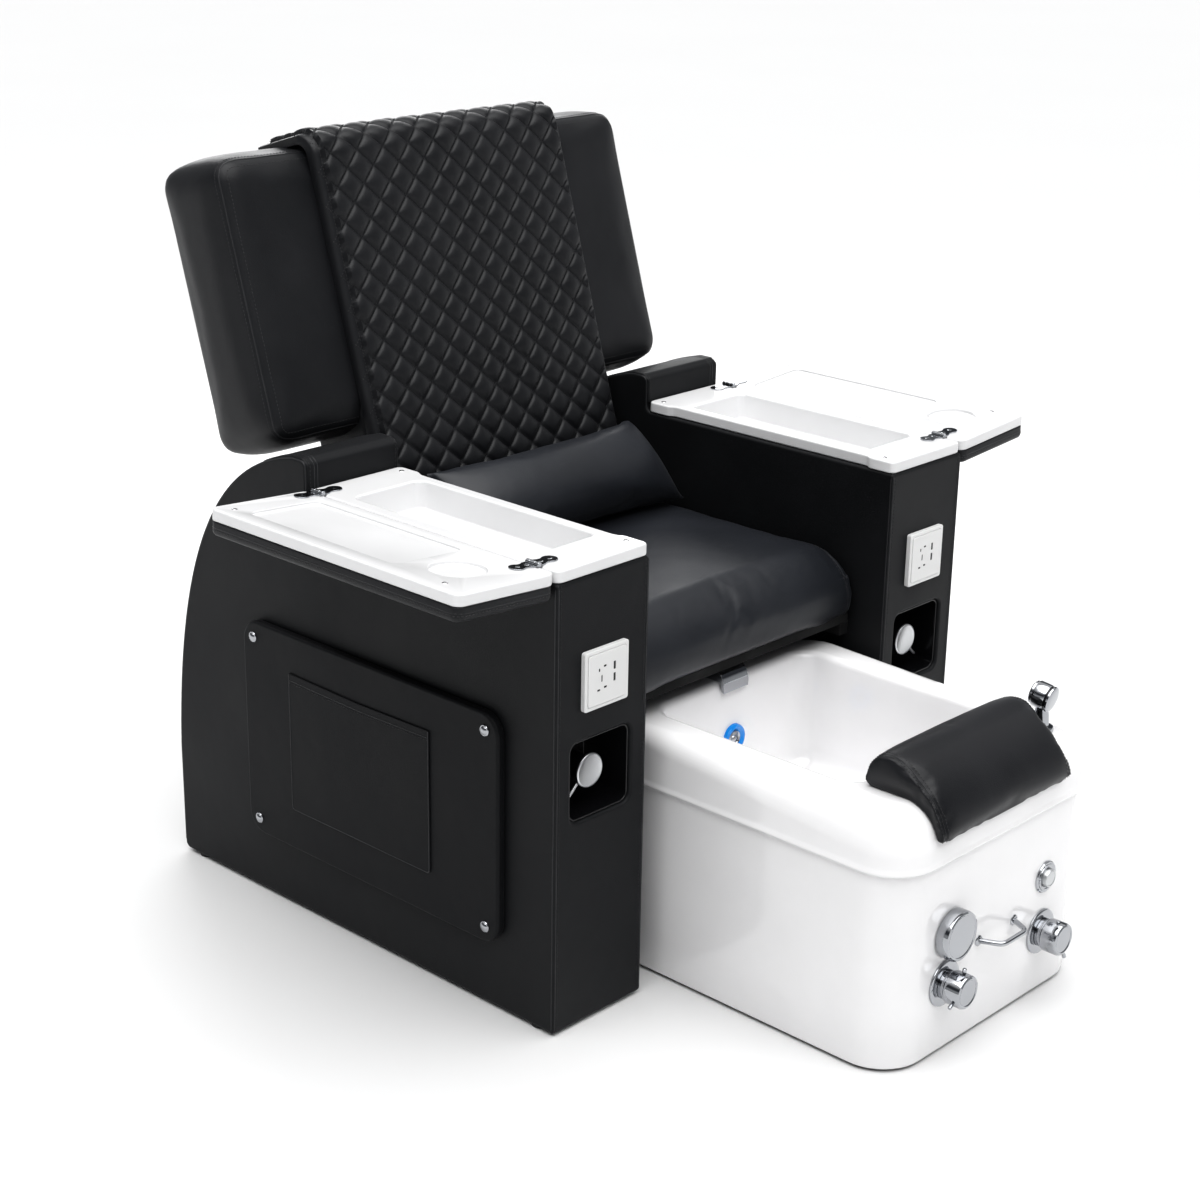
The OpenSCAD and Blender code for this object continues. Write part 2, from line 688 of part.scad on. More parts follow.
// Thin shell of the foot bowl, hung under the rim
module basin_bowl() color("white") tub() difference() {
  intersection() {
    bowl_shape(bowl_wall, basin_h + 2);
    translate([-skirt_w / 2, skirt_front, 0]) cube([skirt_w, basin_l, groove_z]);
  }
  bowl_shape(0, basin_h + 2);
  translate([0, drain_y, bowl_z - 20]) cylinder(r = drain_r, h = 40);
  rod_y([0, jet_z], jet_r, jet_y0 - 24, jet_y1);
}

module skirt_outline(inset) round_rect(
  [-skirt_w / 2 + inset, skirt_front + inset], [skirt_w / 2 - inset, skirt_back - inset], corner_r - inset);

module basin_skirt() color("white") tub() difference() {
  translate([0, 0, skirt_z]) linear_extrude(groove_z - skirt_z) difference() {
    skirt_outline(0);
    skirt_outline(wall);
  }
  for (at = [drain_knob_at, valve_left_at, valve_right_at])
    rod_y(at, neck_r, skirt_front - 1, skirt_front + wall + 1);
  rod_y(button_at, button_r + 3, skirt_front - 1, skirt_front + wall + 1);
}

// Floor board of the basin with four bearing blocks for the axles
module basin_base() color("#a98a62") tub() difference() {
  union() {
    translate([0, 0, base_z]) linear_extrude(base_t) skirt_outline(wall);
    for (x = [-165, 165], y = axle_ys) box([x - 10, y - 14, 8], [x + 10, y + 14, base_z]);
  }
  for (y = axle_ys) rod_x([y, wheel_r], axle_r + run, -180, 180);
}

module roller(y) color("#2a2a2c") tub() {
  rod_x([y, wheel_r], axle_r, -204, 204);
  for (x = [-201, 177]) rod_x([y, wheel_r], wheel_r, x, x + 24);
}

// Waterfall spout on the rear of the rim
module spout() color("silver") tub() across(-29, 29) translate([bowl_back, basin_h]) polygon(concat(
  [[32, 0]],
  [for (a = [0:15:90]) [20 + 12 * cos(a), 11 + 12 * sin(a)]],
  [for (a = [90:10:170]) [18 + 28 * cos(a), -13 + 36 * sin(a)]],
  [[-9, -17], [-2, -14], [-1, 0]]
));

module ring_jet() color("deepskyblue") tub() difference() {
  rod_y([0, jet_z], jet_r, jet_y0, jet_y1);
  for (a = [0:60:300])
    translate([9 * cos(a), jet_y0 - 1, jet_z + 9 * sin(a)]) rotate([-90, 0, 0]) cylinder(r = 2.5, h = 20, $fn = 24);
}

// Drain: flange and tail over a square trap with a waste pipe. A bar across
// the trap's mouth guides the stopper's stem.
module drain() color("silver") tub() translate([0, drain_y, 0]) difference() {
  union() {
    translate([0, 0, bowl_z]) cylinder(r = 34, h = 3);
    translate([0, 0, trap_z1]) cylinder(r = drain_r, h = bowl_z - trap_z1);
    box([-24, -24, trap_z0], [24, 24, trap_z1]);
    rod_y([0, pipe_z], 12, 24, 210);
  }
  difference() {
    union() {
      translate([0, 0, trap_z1 - 1]) cylinder(r = 17, h = 40);
      box([-20, -20, trap_z0 + 3], [20, 20, trap_z1 - 4]);
      box([-16, -16, trap_z1 - 5], [16, 16, trap_z1]);
    }
    box([-25, -5, trap_z1 - 10], [25, 5, trap_z1 - 4]);
  }
  translate([0, 0, trap_z0 - 4]) cylinder(r = 4 + run, h = 60);
  rod_y([0, pipe_z], 9, 19, 211);
}

module stopper() color("silver") tub() translate([0, drain_y, 0]) {
  translate([0, 0, bowl_z + 3.4]) cylinder(r1 = 27, r2 = 24, h = 5);
  translate([0, 0, trap_z1 - 16]) cylinder(r = 4, h = bowl_z - trap_z1 + 20);
}

module pump() color("#4b5a66") chair() {
  rod_x([-338, 104], 34, -55, 70);
  rod_x([-338, 104], 42, 70, 98);
  box([-40, -358, base_z + base_t], [60, -318, 76]);
}

// Flanges, necks and valve bodies of the controls in the skirt's front wall
module control_flanges() color("silver") tub() {
  inside = skirt_front + wall;
  for (at = [drain_knob_at, valve_left_at, valve_right_at]) difference() {
    union() {
      rod_y(at, neck_r, skirt_front, inside);
      rod_y(at, valve_r, inside, inside + 34);
      if (at != drain_knob_at) rod_y(at, flange_r, skirt_front - flange_t, skirt_front);
    }
    rod_y(at, spindle_r + run, skirt_front - 10, inside + 40);
  }
  difference() {
    union() {
      rod_y(button_at, 24.5, skirt_front - flange_t, skirt_front);
      rod_y(button_at, button_r + 3, skirt_front, inside + 24);
    }
    rod_y(button_at, button_r + run, skirt_front - 10, inside + 16);
  }
}

module drain_knob() color("silver") tub() {
  rod_y(drain_knob_at, 37, skirt_front - 22, skirt_front - 1);
  rod_y(drain_knob_at, spindle_r, skirt_front - 1, skirt_front + wall + 30);
}

module valve_knob(at) color("silver") tub() {
  rod_y(at, 25, skirt_front - knob_reach, skirt_front - flange_t - 0.5);
  rod_y(at, spindle_r, skirt_front - 6, skirt_front + wall + 30);
  translate([at[0], skirt_front - 24, at[1]]) rotate([0, 135, 0]) cylinder(r = 3, h = 36, $fn = 24);
}

module push_button() color("silver") tub()
  rod_y(button_at, button_r, skirt_front - 11, skirt_front + wall + 8);

// Bent wire handle with a rosette on each post
module handle() color("silver") tub() {
  bend = 10;
  bar_y = skirt_front - 32;
  for (side = [0, 1]) mirror([side, 0, 0]) {
    rod_y([handle_x, handle_z], 8, skirt_front - 3, skirt_front);
    rod_y([handle_x, handle_z], 4, bar_y + bend, skirt_front);
    translate([handle_x - bend, bar_y + bend, handle_z]) rotate([0, 0, -90])
      rotate_extrude(angle = 90) translate([bend, 0]) circle(4);
    rod_x([bar_y, handle_z], 4, 0, handle_x - bend);
  }
}

// Collar of the pull-out hand shower, through the rim
module shower_holder() color("silver") tub() translate([shower_at[0], shower_at[1], 0]) difference() {
  union() {
    translate([0, 0, groove_z]) cylinder(r = collar_r, h = basin_h + 2 - groove_z);
    translate([0, 0, basin_h]) cylinder(r = collar_r + 4, h = 6);
  }
  translate([0, 0, groove_z + 10]) cylinder(r = stem_r + run, h = 100);
}

// Hand shower: a stem in the collar and a tilted head with a face plate
module shower_handset() color("silver") tub() translate([shower_at[0], shower_at[1], 0]) {
  translate([0, 0, 340]) cylinder(r = stem_r, h = 82);
  translate([0, 0, 440]) rotate([0, 70, 140]) {
    translate([0, 0, -16]) cylinder(r = 20, h = 28);
    translate([0, 0, 12]) cylinder(r = 18, h = 4);
  }
}

// Foot pillow draped over the front of the rim, from its rear foot to its front edge
pillow_rear = [[-288, 395], [-283, 425], [-300, 447], [-326, 446]];
pillow_front = [[-326, 446], [-352, 444], [-424, 388], [-421, 343]];
function pillow_line(w) = w < 0.4 ? cubic(pillow_rear, w / 0.4) : cubic(pillow_front, (w - 0.4) / 0.6);

// Its underside follows the rim's top and rounding
function rim_line(w) =
  let (flat_y = -basin_out + rim_r, a = 75 * (w - 0.4) / 0.6)
  w < 0.4 ? [-290 + (flat_y + 290) * w / 0.4, basin_h + 0.4]
  : [flat_y - (rim_r + 0.4) * sin(a), basin_h - rim_r + (rim_r + 0.4) * cos(a)];

module foot_pillow() color("#202226") chair() draped(12, 16,
  function(u, v) let (w = (v + 1) / 2, p = pillow_line(w), q = rim_line(w), e = edge(u, 8))
    [152 * u, p[0] + (q[0] - p[0]) * 0.2 * e, p[1] + (q[1] - p[1]) * 0.2 * e],
  function(side, v) let (q = rim_line((v + 1) / 2)) [148 * side, q[0], q[1]]
);

arm_outer(left);  // arm_outer_left
arm_outer(right);  // arm_outer_right
arm_inner(left);  // arm_inner_left
arm_inner(right);  // arm_inner_right
arm_front(left);  // arm_front_left
arm_front(right);  // arm_front_right
arm_rear(left);  // arm_rear_left
arm_rear(right);  // arm_rear_right
arm_block(left);  // arm_block_left
arm_block(right);  // arm_block_right
tray(left);  // tray_left
tray(right);  // tray_right
hinges_fixed();
socket(left);  // socket_left
socket(right);  // socket_right
niche(left);  // niche_left
niche(right);  // niche_right
panel(left);  // panel_left
panel(right);  // panel_right
panel_buttons();
glides();
seat_frame();
seat_deck();
seat_cushion();
rear_beam();
rear_board();
lid_tray(left);  // lid_tray_left
lid_tray(right);  // lid_tray_right
lid_pad(left);  // lid_pad_left
lid_pad(right);  // lid_pad_right
hinge_leaf(left);  // hinge_leaf_left
hinge_leaf(right);  // hinge_leaf_right
lumbar_pillow();
back_frame();
back_shell();
back_pad();
gas_tube();
gas_rod();
release_knob(left);  // release_knob_left
release_knob(right);  // release_knob_right
basin_rim();
basin_bowl();
basin_skirt();
basin_base();
spout();
ring_jet();
drain();
pump();
handle();
shower_holder();
control_flanges();
stopper();
drain_knob();
valve_knob(valve_left_at);  // valve_knob_left
valve_knob(valve_right_at);  // valve_knob_right
push_button();
foot_pillow();
shower_handset();
roller(axle_ys[0]);  // roller_front
roller(axle_ys[1]);  // roller_rear
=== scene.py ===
import math

import bmesh
import bpy
from mathutils import Matrix, Vector, noise
from mathutils.kdtree import KDTree


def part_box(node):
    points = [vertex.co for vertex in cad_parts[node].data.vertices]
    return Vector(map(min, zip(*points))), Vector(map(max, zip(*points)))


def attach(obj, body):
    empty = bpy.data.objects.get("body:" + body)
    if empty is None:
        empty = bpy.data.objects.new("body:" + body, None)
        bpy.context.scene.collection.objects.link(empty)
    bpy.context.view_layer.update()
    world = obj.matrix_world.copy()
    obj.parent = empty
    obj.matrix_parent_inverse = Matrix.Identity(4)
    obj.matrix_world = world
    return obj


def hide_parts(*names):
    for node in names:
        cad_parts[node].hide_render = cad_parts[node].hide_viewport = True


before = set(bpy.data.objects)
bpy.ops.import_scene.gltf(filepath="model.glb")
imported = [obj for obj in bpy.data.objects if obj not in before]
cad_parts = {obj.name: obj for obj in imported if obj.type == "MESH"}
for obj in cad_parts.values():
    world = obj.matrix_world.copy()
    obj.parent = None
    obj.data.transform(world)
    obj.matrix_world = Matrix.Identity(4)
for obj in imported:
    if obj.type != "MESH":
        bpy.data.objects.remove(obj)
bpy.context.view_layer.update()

# The camera stands off the sitter's front right corner, above the trays, and looks down
# on the chair and into its basin. It is turned by about a degree round its own axis.
heading, dip, roll = math.radians(-46.8948), math.radians(19.7904), math.radians(0.97231)
toward = Vector((math.sin(heading) * math.cos(dip), -math.cos(heading) * math.cos(dip), math.sin(dip)))
level = (-toward).cross(Vector((0, 0, 1))).normalized()
upright = level.cross(-toward)
bpy.ops.object.select_all(action="DESELECT")
bpy.ops.object.camera_add()
camera = bpy.context.object
camera.name = "camera"
camera.data.lens = 67.9618
camera.data.sensor_width = 36
sideways = math.cos(roll) * level + math.sin(roll) * upright
headways = math.cos(roll) * upright - math.sin(roll) * level
camera.matrix_world = Matrix.Translation((-2.459663, -2.160099, 1.664013)) @ Matrix(
    (sideways, headways, toward)).transposed().to_4x4()
bpy.context.scene.camera = camera
bpy.context.scene.view_settings.view_transform = "Standard"
bpy.context.scene.view_settings.look = "Medium High Contrast"

# The studio is a white sweep under a hazy sun and four softboxes: a wide one overhead, weak
# ones at the front left and the right, and a strong one behind on the right. A dark band in
# the surroundings gives the chrome its dark lines.


def node(finish, kind, inputs, **settings):
    """Adds one shader node and feeds its sockets with values or with other nodes' outputs."""
    made = finish.node_tree.nodes.new("ShaderNode" + kind)
    for key, value in settings.items():
        setattr(made, key, value)
    for socket, value in inputs.items():
        if isinstance(value, bpy.types.NodeSocket):
            finish.node_tree.links.new(value, made.inputs[socket])
        else:
            made.inputs[socket].default_value = value
    return made


def new_finish(name):
    """A material and its shader, still plain."""
    finish = bpy.data.materials.new(name)
    finish.use_nodes = True
    return finish, finish.node_tree.nodes["Principled BSDF"]


def object_place(finish):
    """The coordinates that every pattern is laid out on."""
    return node(finish, "TexCoord", {}).outputs["Object"]


def ramp(finish, factor, *stops):
    """A colour ramp through (place, red, green, blue) stops."""
    made = node(finish, "ValToRGB", {"Fac": factor})
    while len(made.color_ramp.elements) < len(stops):
        made.color_ramp.elements.new(0.5)
    for element, (place, *colour) in zip(made.color_ramp.elements, stops):
        element.position = place
        element.color = (*colour, 1)
    return made.outputs["Color"]


studio = bpy.data.worlds.new("studio")
studio.use_nodes = True
bpy.context.scene.world = studio
direction = node(studio, "TexCoord", {}).outputs["Generated"]
height = node(studio, "SeparateXYZ", {"Vector": direction}).outputs["Z"]
lift = node(studio, "MapRange", {"Value": height, "From Min": -1.0, "From Max": 1.0}).outputs["Result"]
surround = studio.node_tree.nodes["Background"]
studio.node_tree.links.new(
    ramp(studio, lift, (0.0, 0.8, 0.8, 0.8), (0.5, 0.62, 0.63, 0.64), (0.6, 0.5, 0.51, 0.52),
         (0.65, 0.08, 0.085, 0.095), (0.74, 0.1, 0.105, 0.115), (0.84, 1.0, 1.0, 1.0)),
    surround.inputs["Color"])
surround.inputs["Strength"].default_value = 0.7

bpy.ops.object.light_add(type="SUN", rotation=(math.radians(12), math.radians(-8), 0))
overhead = bpy.context.object
overhead.name = "overhead"
overhead.data.energy = 2.4
overhead.data.angle = math.radians(75)

chair_middle = Vector((0, -0.1, 0.45))
for name, place, size, watts in (
    ("softbox_top", (-0.6, -0.4, 3.4), (3.6, 3.2), 24),
    ("softbox_front", (-1.2, -3.6, 2.2), (1.6, 2.6), 3),
    ("softbox_right", (3.4, -1.2, 1.8), (1.4, 2.4), 5),
    ("softbox_rear", (1.9, 2.6, 1.9), (2.6, 1.5), 34),
):
    bpy.ops.object.light_add(type="AREA", location=place)
    lamp = bpy.context.object
    lamp.name = name
    lamp.data.shape = "RECTANGLE"
    lamp.data.size, lamp.data.size_y = size
    lamp.data.energy = watts
    lamp.rotation_euler = (Vector(place) - chair_middle).to_track_quat("Z", "Y").to_euler()
    lamp.visible_camera = False

bpy.ops.object.select_all(action="DESELECT")
bpy.ops.mesh.primitive_plane_add(size=90)
floor = bpy.context.object
floor.name = "floor"
sweep, sweep_shader = new_finish("white_sweep")
sweep_shader.inputs["Roughness"].default_value = 0.6
cloudy = node(sweep, "TexNoise", {"Vector": object_place(sweep), "Scale": 0.7})
sweep.node_tree.links.new(
    ramp(sweep, cloudy.outputs["Fac"], (0.3, 0.71, 0.71, 0.71), (0.7, 0.716, 0.716, 0.716)),
    sweep_shader.inputs["Base Color"])
floor.data.materials.append(sweep)

# Arms: plywood boxes under thin foam, covered in black leather that is sewn over each
# corner. Each has a niche and a socket in its front and an open top under the tray.
arms_front = Matrix.Translation((0, -0.2090845, 0))  # every size is in millimetres from the arms' front
left, right = (-1, "left"), (1, "right")
arm_in, arm_out, arm_middle, arm_length = 277, 457, 367, 850
niche_height, niche_half, tray_under, block_front = 380, 60, 677, 512


def only(piece):
    """Makes one piece the only one selected."""
    bpy.ops.object.select_all(action="DESELECT")
    piece.select_set(True)
    bpy.context.view_layer.objects.active = piece
    return piece


def plate(name, outline, axis, start, end):
    """A plate cut to an outline, square to an axis and reaching from start to end along it."""
    bpy.ops.object.select_all(action="DESELECT")
    bpy.ops.mesh.primitive_circle_add(vertices=len(outline), fill_type="NGON")
    piece = bpy.context.object
    piece.name = piece.data.name = name
    for corner, (a, b) in zip(piece.data.vertices, outline):
        corner.co = Vector({"x": (start, a, b), "y": (a, start, b), "z": (a, b, start)}[axis]) / 1000
    reach = (end - start) / 1000
    bpy.ops.object.mode_set(mode="EDIT")
    bpy.ops.mesh.select_all(action="SELECT")
    bpy.ops.mesh.extrude_region_move(
        TRANSFORM_OT_translate={"value": {"x": (reach, 0, 0), "y": (0, reach, 0), "z": (0, 0, reach)}[axis]})
    bpy.ops.mesh.select_all(action="SELECT")
    bpy.ops.mesh.normals_make_consistent(inside=False)
    bpy.ops.object.mode_set(mode="OBJECT")
    return piece


def arc(x, y, radius, angles, radius_up=None):
    """Points round a middle at given angles in degrees."""
    tall = radius if radius_up is None else radius_up
    return [(x + radius * math.cos(math.radians(a)), y + tall * math.sin(math.radians(a))) for a in angles]


def rounded(a, b, radius, steps=6):
    """Corner points of a rectangle from a to b with rounded corners."""
    x0, x1 = sorted((a[0], b[0]))
    y0, y1 = sorted((a[1], b[1]))
    turns = [math.radians(90 * i / steps) for i in range(steps + 1)]
    return [(x + radius * math.cos(start + t), y + radius * math.sin(start + t))
            for x, y, start in ((x1 - radius, y1 - radius, 0), (x0 + radius, y1 - radius, math.pi / 2),
                                (x0 + radius, y0 + radius, math.pi), (x1 - radius, y0 + radius, -math.pi / 2))
            for t in turns]


def carve(piece, other, operation="DIFFERENCE"):
    """Cuts another shape out of a piece, or joins the two."""
    only(piece)
    tool = piece.modifiers.new("carve", "BOOLEAN")
    tool.operation, tool.object, tool.solver = operation, other, "EXACT"
    bpy.ops.object.modifier_apply(modifier=tool.name)
    bpy.data.objects.remove(other)


def ease(piece, radius, steps=4, angle=38):
    """Rounds every edge that is sharper than an angle."""
    only(piece)
    bpy.ops.object.shade_smooth()
    tool = piece.modifiers.new("ease", "BEVEL")
    tool.width, tool.segments, tool.angle_limit = radius / 1000, steps, math.radians(angle)
    tool.use_clamp_overlap, tool.harden_normals = False, True
    bpy.ops.object.modifier_apply(modifier=tool.name)


def fit(piece, body, finish, slot, *nodes, place=arms_front):
    """Puts a finished piece on the chair, on what carries it."""
    piece.data.transform(place)
    piece.data.materials.clear()
    piece.data.materials.append(finish)
    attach(piece, body)
    if nodes:
        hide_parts(*nodes)
    return piece


def leather(name, dark, light, rough, grain=0.3, swell=0.25, shine=0.3):
    """Dyed leather with fine grain, an uneven dye and a surface that is never quite flat."""
    finish, shader = new_finish(name)
    shader.inputs["Specular IOR Level"].default_value = shine
    shader.inputs["Sheen Weight"].default_value = 0.04
    shader.inputs["Sheen Roughness"].default_value = 0.4
    place = object_place(finish)
    dye = node(finish, "TexNoise", {"Vector": place, "Scale": 6, "Detail": 4}).outputs["Fac"]
    pores = node(finish, "TexVoronoi", {"Vector": place, "Scale": 620}).outputs["Distance"]
    creases = node(finish, "TexNoise", {"Vector": place, "Scale": 1500, "Detail": 3}).outputs["Fac"]
    waves = node(finish, "TexNoise", {"Vector": place, "Scale": 16, "Detail": 2}).outputs["Fac"]
    polish = node(finish, "MapRange", {"Value": dye, "From Min": 0.3, "From Max": 0.7,
                                       "To Min": rough - 0.05, "To Max": rough + 0.06})
    pebbled = node(finish, "Math", {0: pores, 1: creases}, operation="ADD").outputs["Value"]
    fine = node(finish, "Bump", {"Height": pebbled, "Strength": grain, "Distance": 0.0004}).outputs["Normal"]
    broad = node(finish, "Bump", {"Height": waves, "Strength": swell, "Distance": 0.004, "Normal": fine})
    links = finish.node_tree.links
    links.new(ramp(finish, dye, (0.3, *dark), (0.7, *light)), shader.inputs["Base Color"])
    links.new(polish.outputs["Result"], shader.inputs["Roughness"])
    links.new(broad.outputs["Normal"], shader.inputs["Normal"])
    return finish


def made_of(name, shape):
    """Turns a built mesh into a piece."""
    piece = bpy.data.objects.new(name, bpy.data.meshes.new(name))
    shape.to_mesh(piece.data)
    shape.free()
    bpy.context.scene.collection.objects.link(piece)
    return piece


def walk(path, pitch):
    """Evenly spaced points along a path in millimetres, each with the way it runs."""
    points = [Vector(p) / 1000 for p in path]
    lengths = [(b - a).length for a, b in zip(points, points[1:])]
    count = max(2, round(sum(lengths) / (pitch / 1000)))
    step, done, leg, found = sum(lengths) / count, 0.0, 0, []
    for i in range(count + 1):
        target = step * i
        while leg < len(lengths) - 1 and done + lengths[leg] < target:
            done += lengths[leg]
            leg += 1
        way = points[leg + 1] - points[leg]
        found.append((points[leg] + way * ((target - done) / max(lengths[leg], 1e-9)), way.normalized()))
    return found


def sew(name, cover, paths, pitch=6.0, length=4.2, thick=0.55, lift=0.1):
    """Stitches of thread along paths, laid on a cover's surface."""
    thread = bmesh.new()
    for path in paths:
        for point, way in walk(path, pitch):
            _, spot, normal, _ = cover.closest_point_on_mesh(point)
            over = way.cross(normal).normalized()
            rings = []
            for share, wide in ((-0.5, 0), (-0.3, 1), (0.3, 1), (0.5, 0)):
                middle = spot + way * (length / 1000 * share) + normal * (lift if wide else lift - 0.5) / 1000
                if wide:
                    rings.append([thread.verts.new(middle + (over * c + normal * s) * thick / 1000)
                                  for c, s in ((1, 0), (0, 1), (-1, 0), (0, -1))])
                else:
                    rings.append([thread.verts.new(middle)] * 4)
            for low, high in zip(rings, rings[1:]):
                for i in range(4):
                    corners = [low[i], low[(i + 1) % 4], high[(i + 1) % 4], high[i]]
                    thread.faces.new(sorted(set(corners), key=corners.index))
    bmesh.ops.recalc_face_normals(thread, faces=thread.faces)
    sewn = made_of(name, thread)
    sewn.data.shade_smooth()
    return sewn


def piping(name, cover, paths, radius=1.2, sunk=0.5, pitch=8.0):
    """A sewn edge that stands up as a thin roll, half sunk into a cover's surface."""
    line = bpy.data.curves.new(name, "CURVE")
    line.dimensions = "3D"
    line.bevel_depth = radius / 1000
    line.bevel_resolution = 2
    line.use_fill_caps = True
    for path in paths:
        spots = []
        for point, _ in walk(path, pitch):
            _, spot, normal, _ = cover.closest_point_on_mesh(point)
            spots.append(spot - normal * sunk / 1000)
        spline = line.splines.new("POLY")
        spline.use_cyclic_u = (spots[0] - spots[-1]).length < 0.002
        if spline.use_cyclic_u:
            spots.pop()
        spline.points.add(len(spots) - 1)
        for point, spot in zip(spline.points, spots):
            point.co = (*spot, 1)
    roll_up = bpy.data.objects.new(name, line)
    bpy.context.scene.collection.objects.link(roll_up)
    only(roll_up)
    bpy.ops.object.convert(target="MESH")
    bpy.context.object.data.shade_smooth()
    return bpy.context.object


arm_leather = leather("arm_leather", (0.0075, 0.008, 0.009), (0.0105, 0.011, 0.0125), 0.5, shine=0.2)
# The welts are leather made lighter than the covers, so every seam shows as a fine light line: painted
# highlight.
welt_highlight_leather = leather("welt_highlight_leather", (0.016, 0.0165, 0.018), (0.036, 0.037, 0.04), 0.36)
black_thread, thread_shader = new_finish("black_thread")
thread_shader.inputs["Roughness"].default_value = 0.55
twist = node(black_thread, "TexWave",
             {"Vector": object_place(black_thread), "Scale": 900.0, "Distortion": 2.0},
             bands_direction="DIAGONAL")
black_thread.node_tree.links.new(
    ramp(black_thread, twist.outputs["Fac"], (0.2, 0.012, 0.012, 0.013), (0.8, 0.035, 0.036, 0.038)),
    thread_shader.inputs["Base Color"])

rear_line = [(545, 737), (690, 708), (832, 585), (850, 190)]


def bend(points, share):
    """Point on a curve through four control points."""
    s = 1 - share
    weights = (s ** 3, 3 * share * s * s, 3 * share * share * s, share ** 3)
    return tuple(sum(w * p[i] for w, p in zip(weights, points)) for i in (0, 1))


arm_rear = [bend(rear_line, 0.16 + 0.84 * i / 26) for i in range(27)]
block_top = arc(524, 725, 12, range(180, 89, -15)) + [bend(rear_line, 0.16 * i / 5) for i in range(6)]
cove = arc(502, 687, 10, range(-90, 1, 15))
arm_outline = [(0, 5), (0, tray_under), *cove, *block_top[:-1], *arm_rear, (arm_length, 12), (843, 5)]
for side, word in (left, right):
    arm = plate(f"arm_cover_{word}", arm_outline, "x", side * arm_in, side * arm_out)
    niche_hole = rounded((side * (arm_middle - niche_half), niche_height - niche_half),
                         (side * (arm_middle + niche_half), niche_height + niche_half), 15)
    carve(arm, plate("niche_cut", niche_hole, "y", -5, 92))
    carve(arm, plate("storage_cut", rounded((side * 290, 62), (side * 445, 450), 20), "z", 646, 720))
    ease(arm, 5)
    corners = [[(side * x, y, 11), (side * x, y, tray_under - 1)]
               for x, y in ((arm_in + 3, 0), (arm_in, 3.5), (arm_out - 3, 0), (arm_out, 3.5))]
    tops = [[(side * x, *p) for p in cove[1:] + block_top[:-1] + arm_rear] + [(side * x, arm_length, 20)]
            for x in (arm_in, arm_out)]
    rows = [[(side * x, 0, 13), (side * x, 0, 672)] for x in (284.5, 449.5)]
    fit(piping(f"arm_welts_{word}", arm, corners, 1.0, 0.35), "chair", welt_highlight_leather, "black_leather")
    fit(piping(f"arm_top_welts_{word}", arm, tops), "chair", welt_highlight_leather, "black_leather")
    fit(sew(f"arm_thread_{word}", arm, rows), "chair", black_thread, "black_leather")
    fit(arm, "chair", arm_leather, "black_leather",
        *(f"arm_{part}_{word}" for part in ("outer", "inner", "front", "rear")))

    pad_top = [(y + (-2.2 if y < block_front + 3 else 0), z + (2.2 if z > 736 else 1.2))
               for y, z in block_top]
    block_outline = [(block_front - 2.2, 690), *pad_top, (arm_rear[0][0] + 6, 700), (530, 690)]
    block = plate(f"arm_block_cover_{word}", block_outline, "x",
                  side * (arm_in + 2.5), side * (arm_out - 2.5))
    ease(block, 3.2, 4)
    seams = [[(side * x, 509, 691), *((side * x, *p) for p in pad_top)] for x in (436, 442)]
    fit(piping(f"arm_block_welts_{word}", block, seams, 0.9, 0.3, 5), "chair", welt_highlight_leather, "black_leather")
    inset = [[(side * x, 509, 692), *((side * x, *p) for p in pad_top)] for x in (284.5, 449.5)]
    fit(sew(f"arm_block_thread_{word}", block, inset), "chair", black_thread, "black_leather")
    fit(block, "chair", arm_leather, "black_leather", f"arm_block_{word}")

# Trays: white moulded plastic with a deep recess, screwed down on the arms. Their inner
# edge steps in between the screws, and the outer edge is let in for the hinges.


def gloss(name, colour, rough, ripple=0.02, metallic=0.0, coat=0.0):
    """A smooth moulded or plated surface with a faint ripple and uneven polish."""
    finish, shader = new_finish(name)
    shader.inputs["Metallic"].default_value = metallic
    shader.inputs["Coat Weight"].default_value = coat
    shader.inputs["Coat Roughness"].default_value = 0.05
    place = object_place(finish)
    haze = node(finish, "TexNoise", {"Vector": place, "Scale": 9, "Detail": 5}).outputs["Fac"]
    wave = node(finish, "TexNoise", {"Vector": place, "Scale": 24, "Detail": 2}).outputs["Fac"]
    shade = [c * 0.965 for c in colour]
    polish = node(finish, "MapRange", {"Value": haze, "From Min": 0.3, "From Max": 0.7,
                                       "To Min": rough * 0.8, "To Max": rough * 1.25}).outputs["Result"]
    bump = node(finish, "Bump", {"Height": wave, "Strength": ripple, "Distance": 0.004}).outputs["Normal"]
    links = finish.node_tree.links
    links.new(ramp(finish, haze, (0.3, *shade), (0.7, *colour)), shader.inputs["Base Color"])
    links.new(polish, shader.inputs["Roughness"])
    links.new(bump, shader.inputs["Normal"])
    return finish


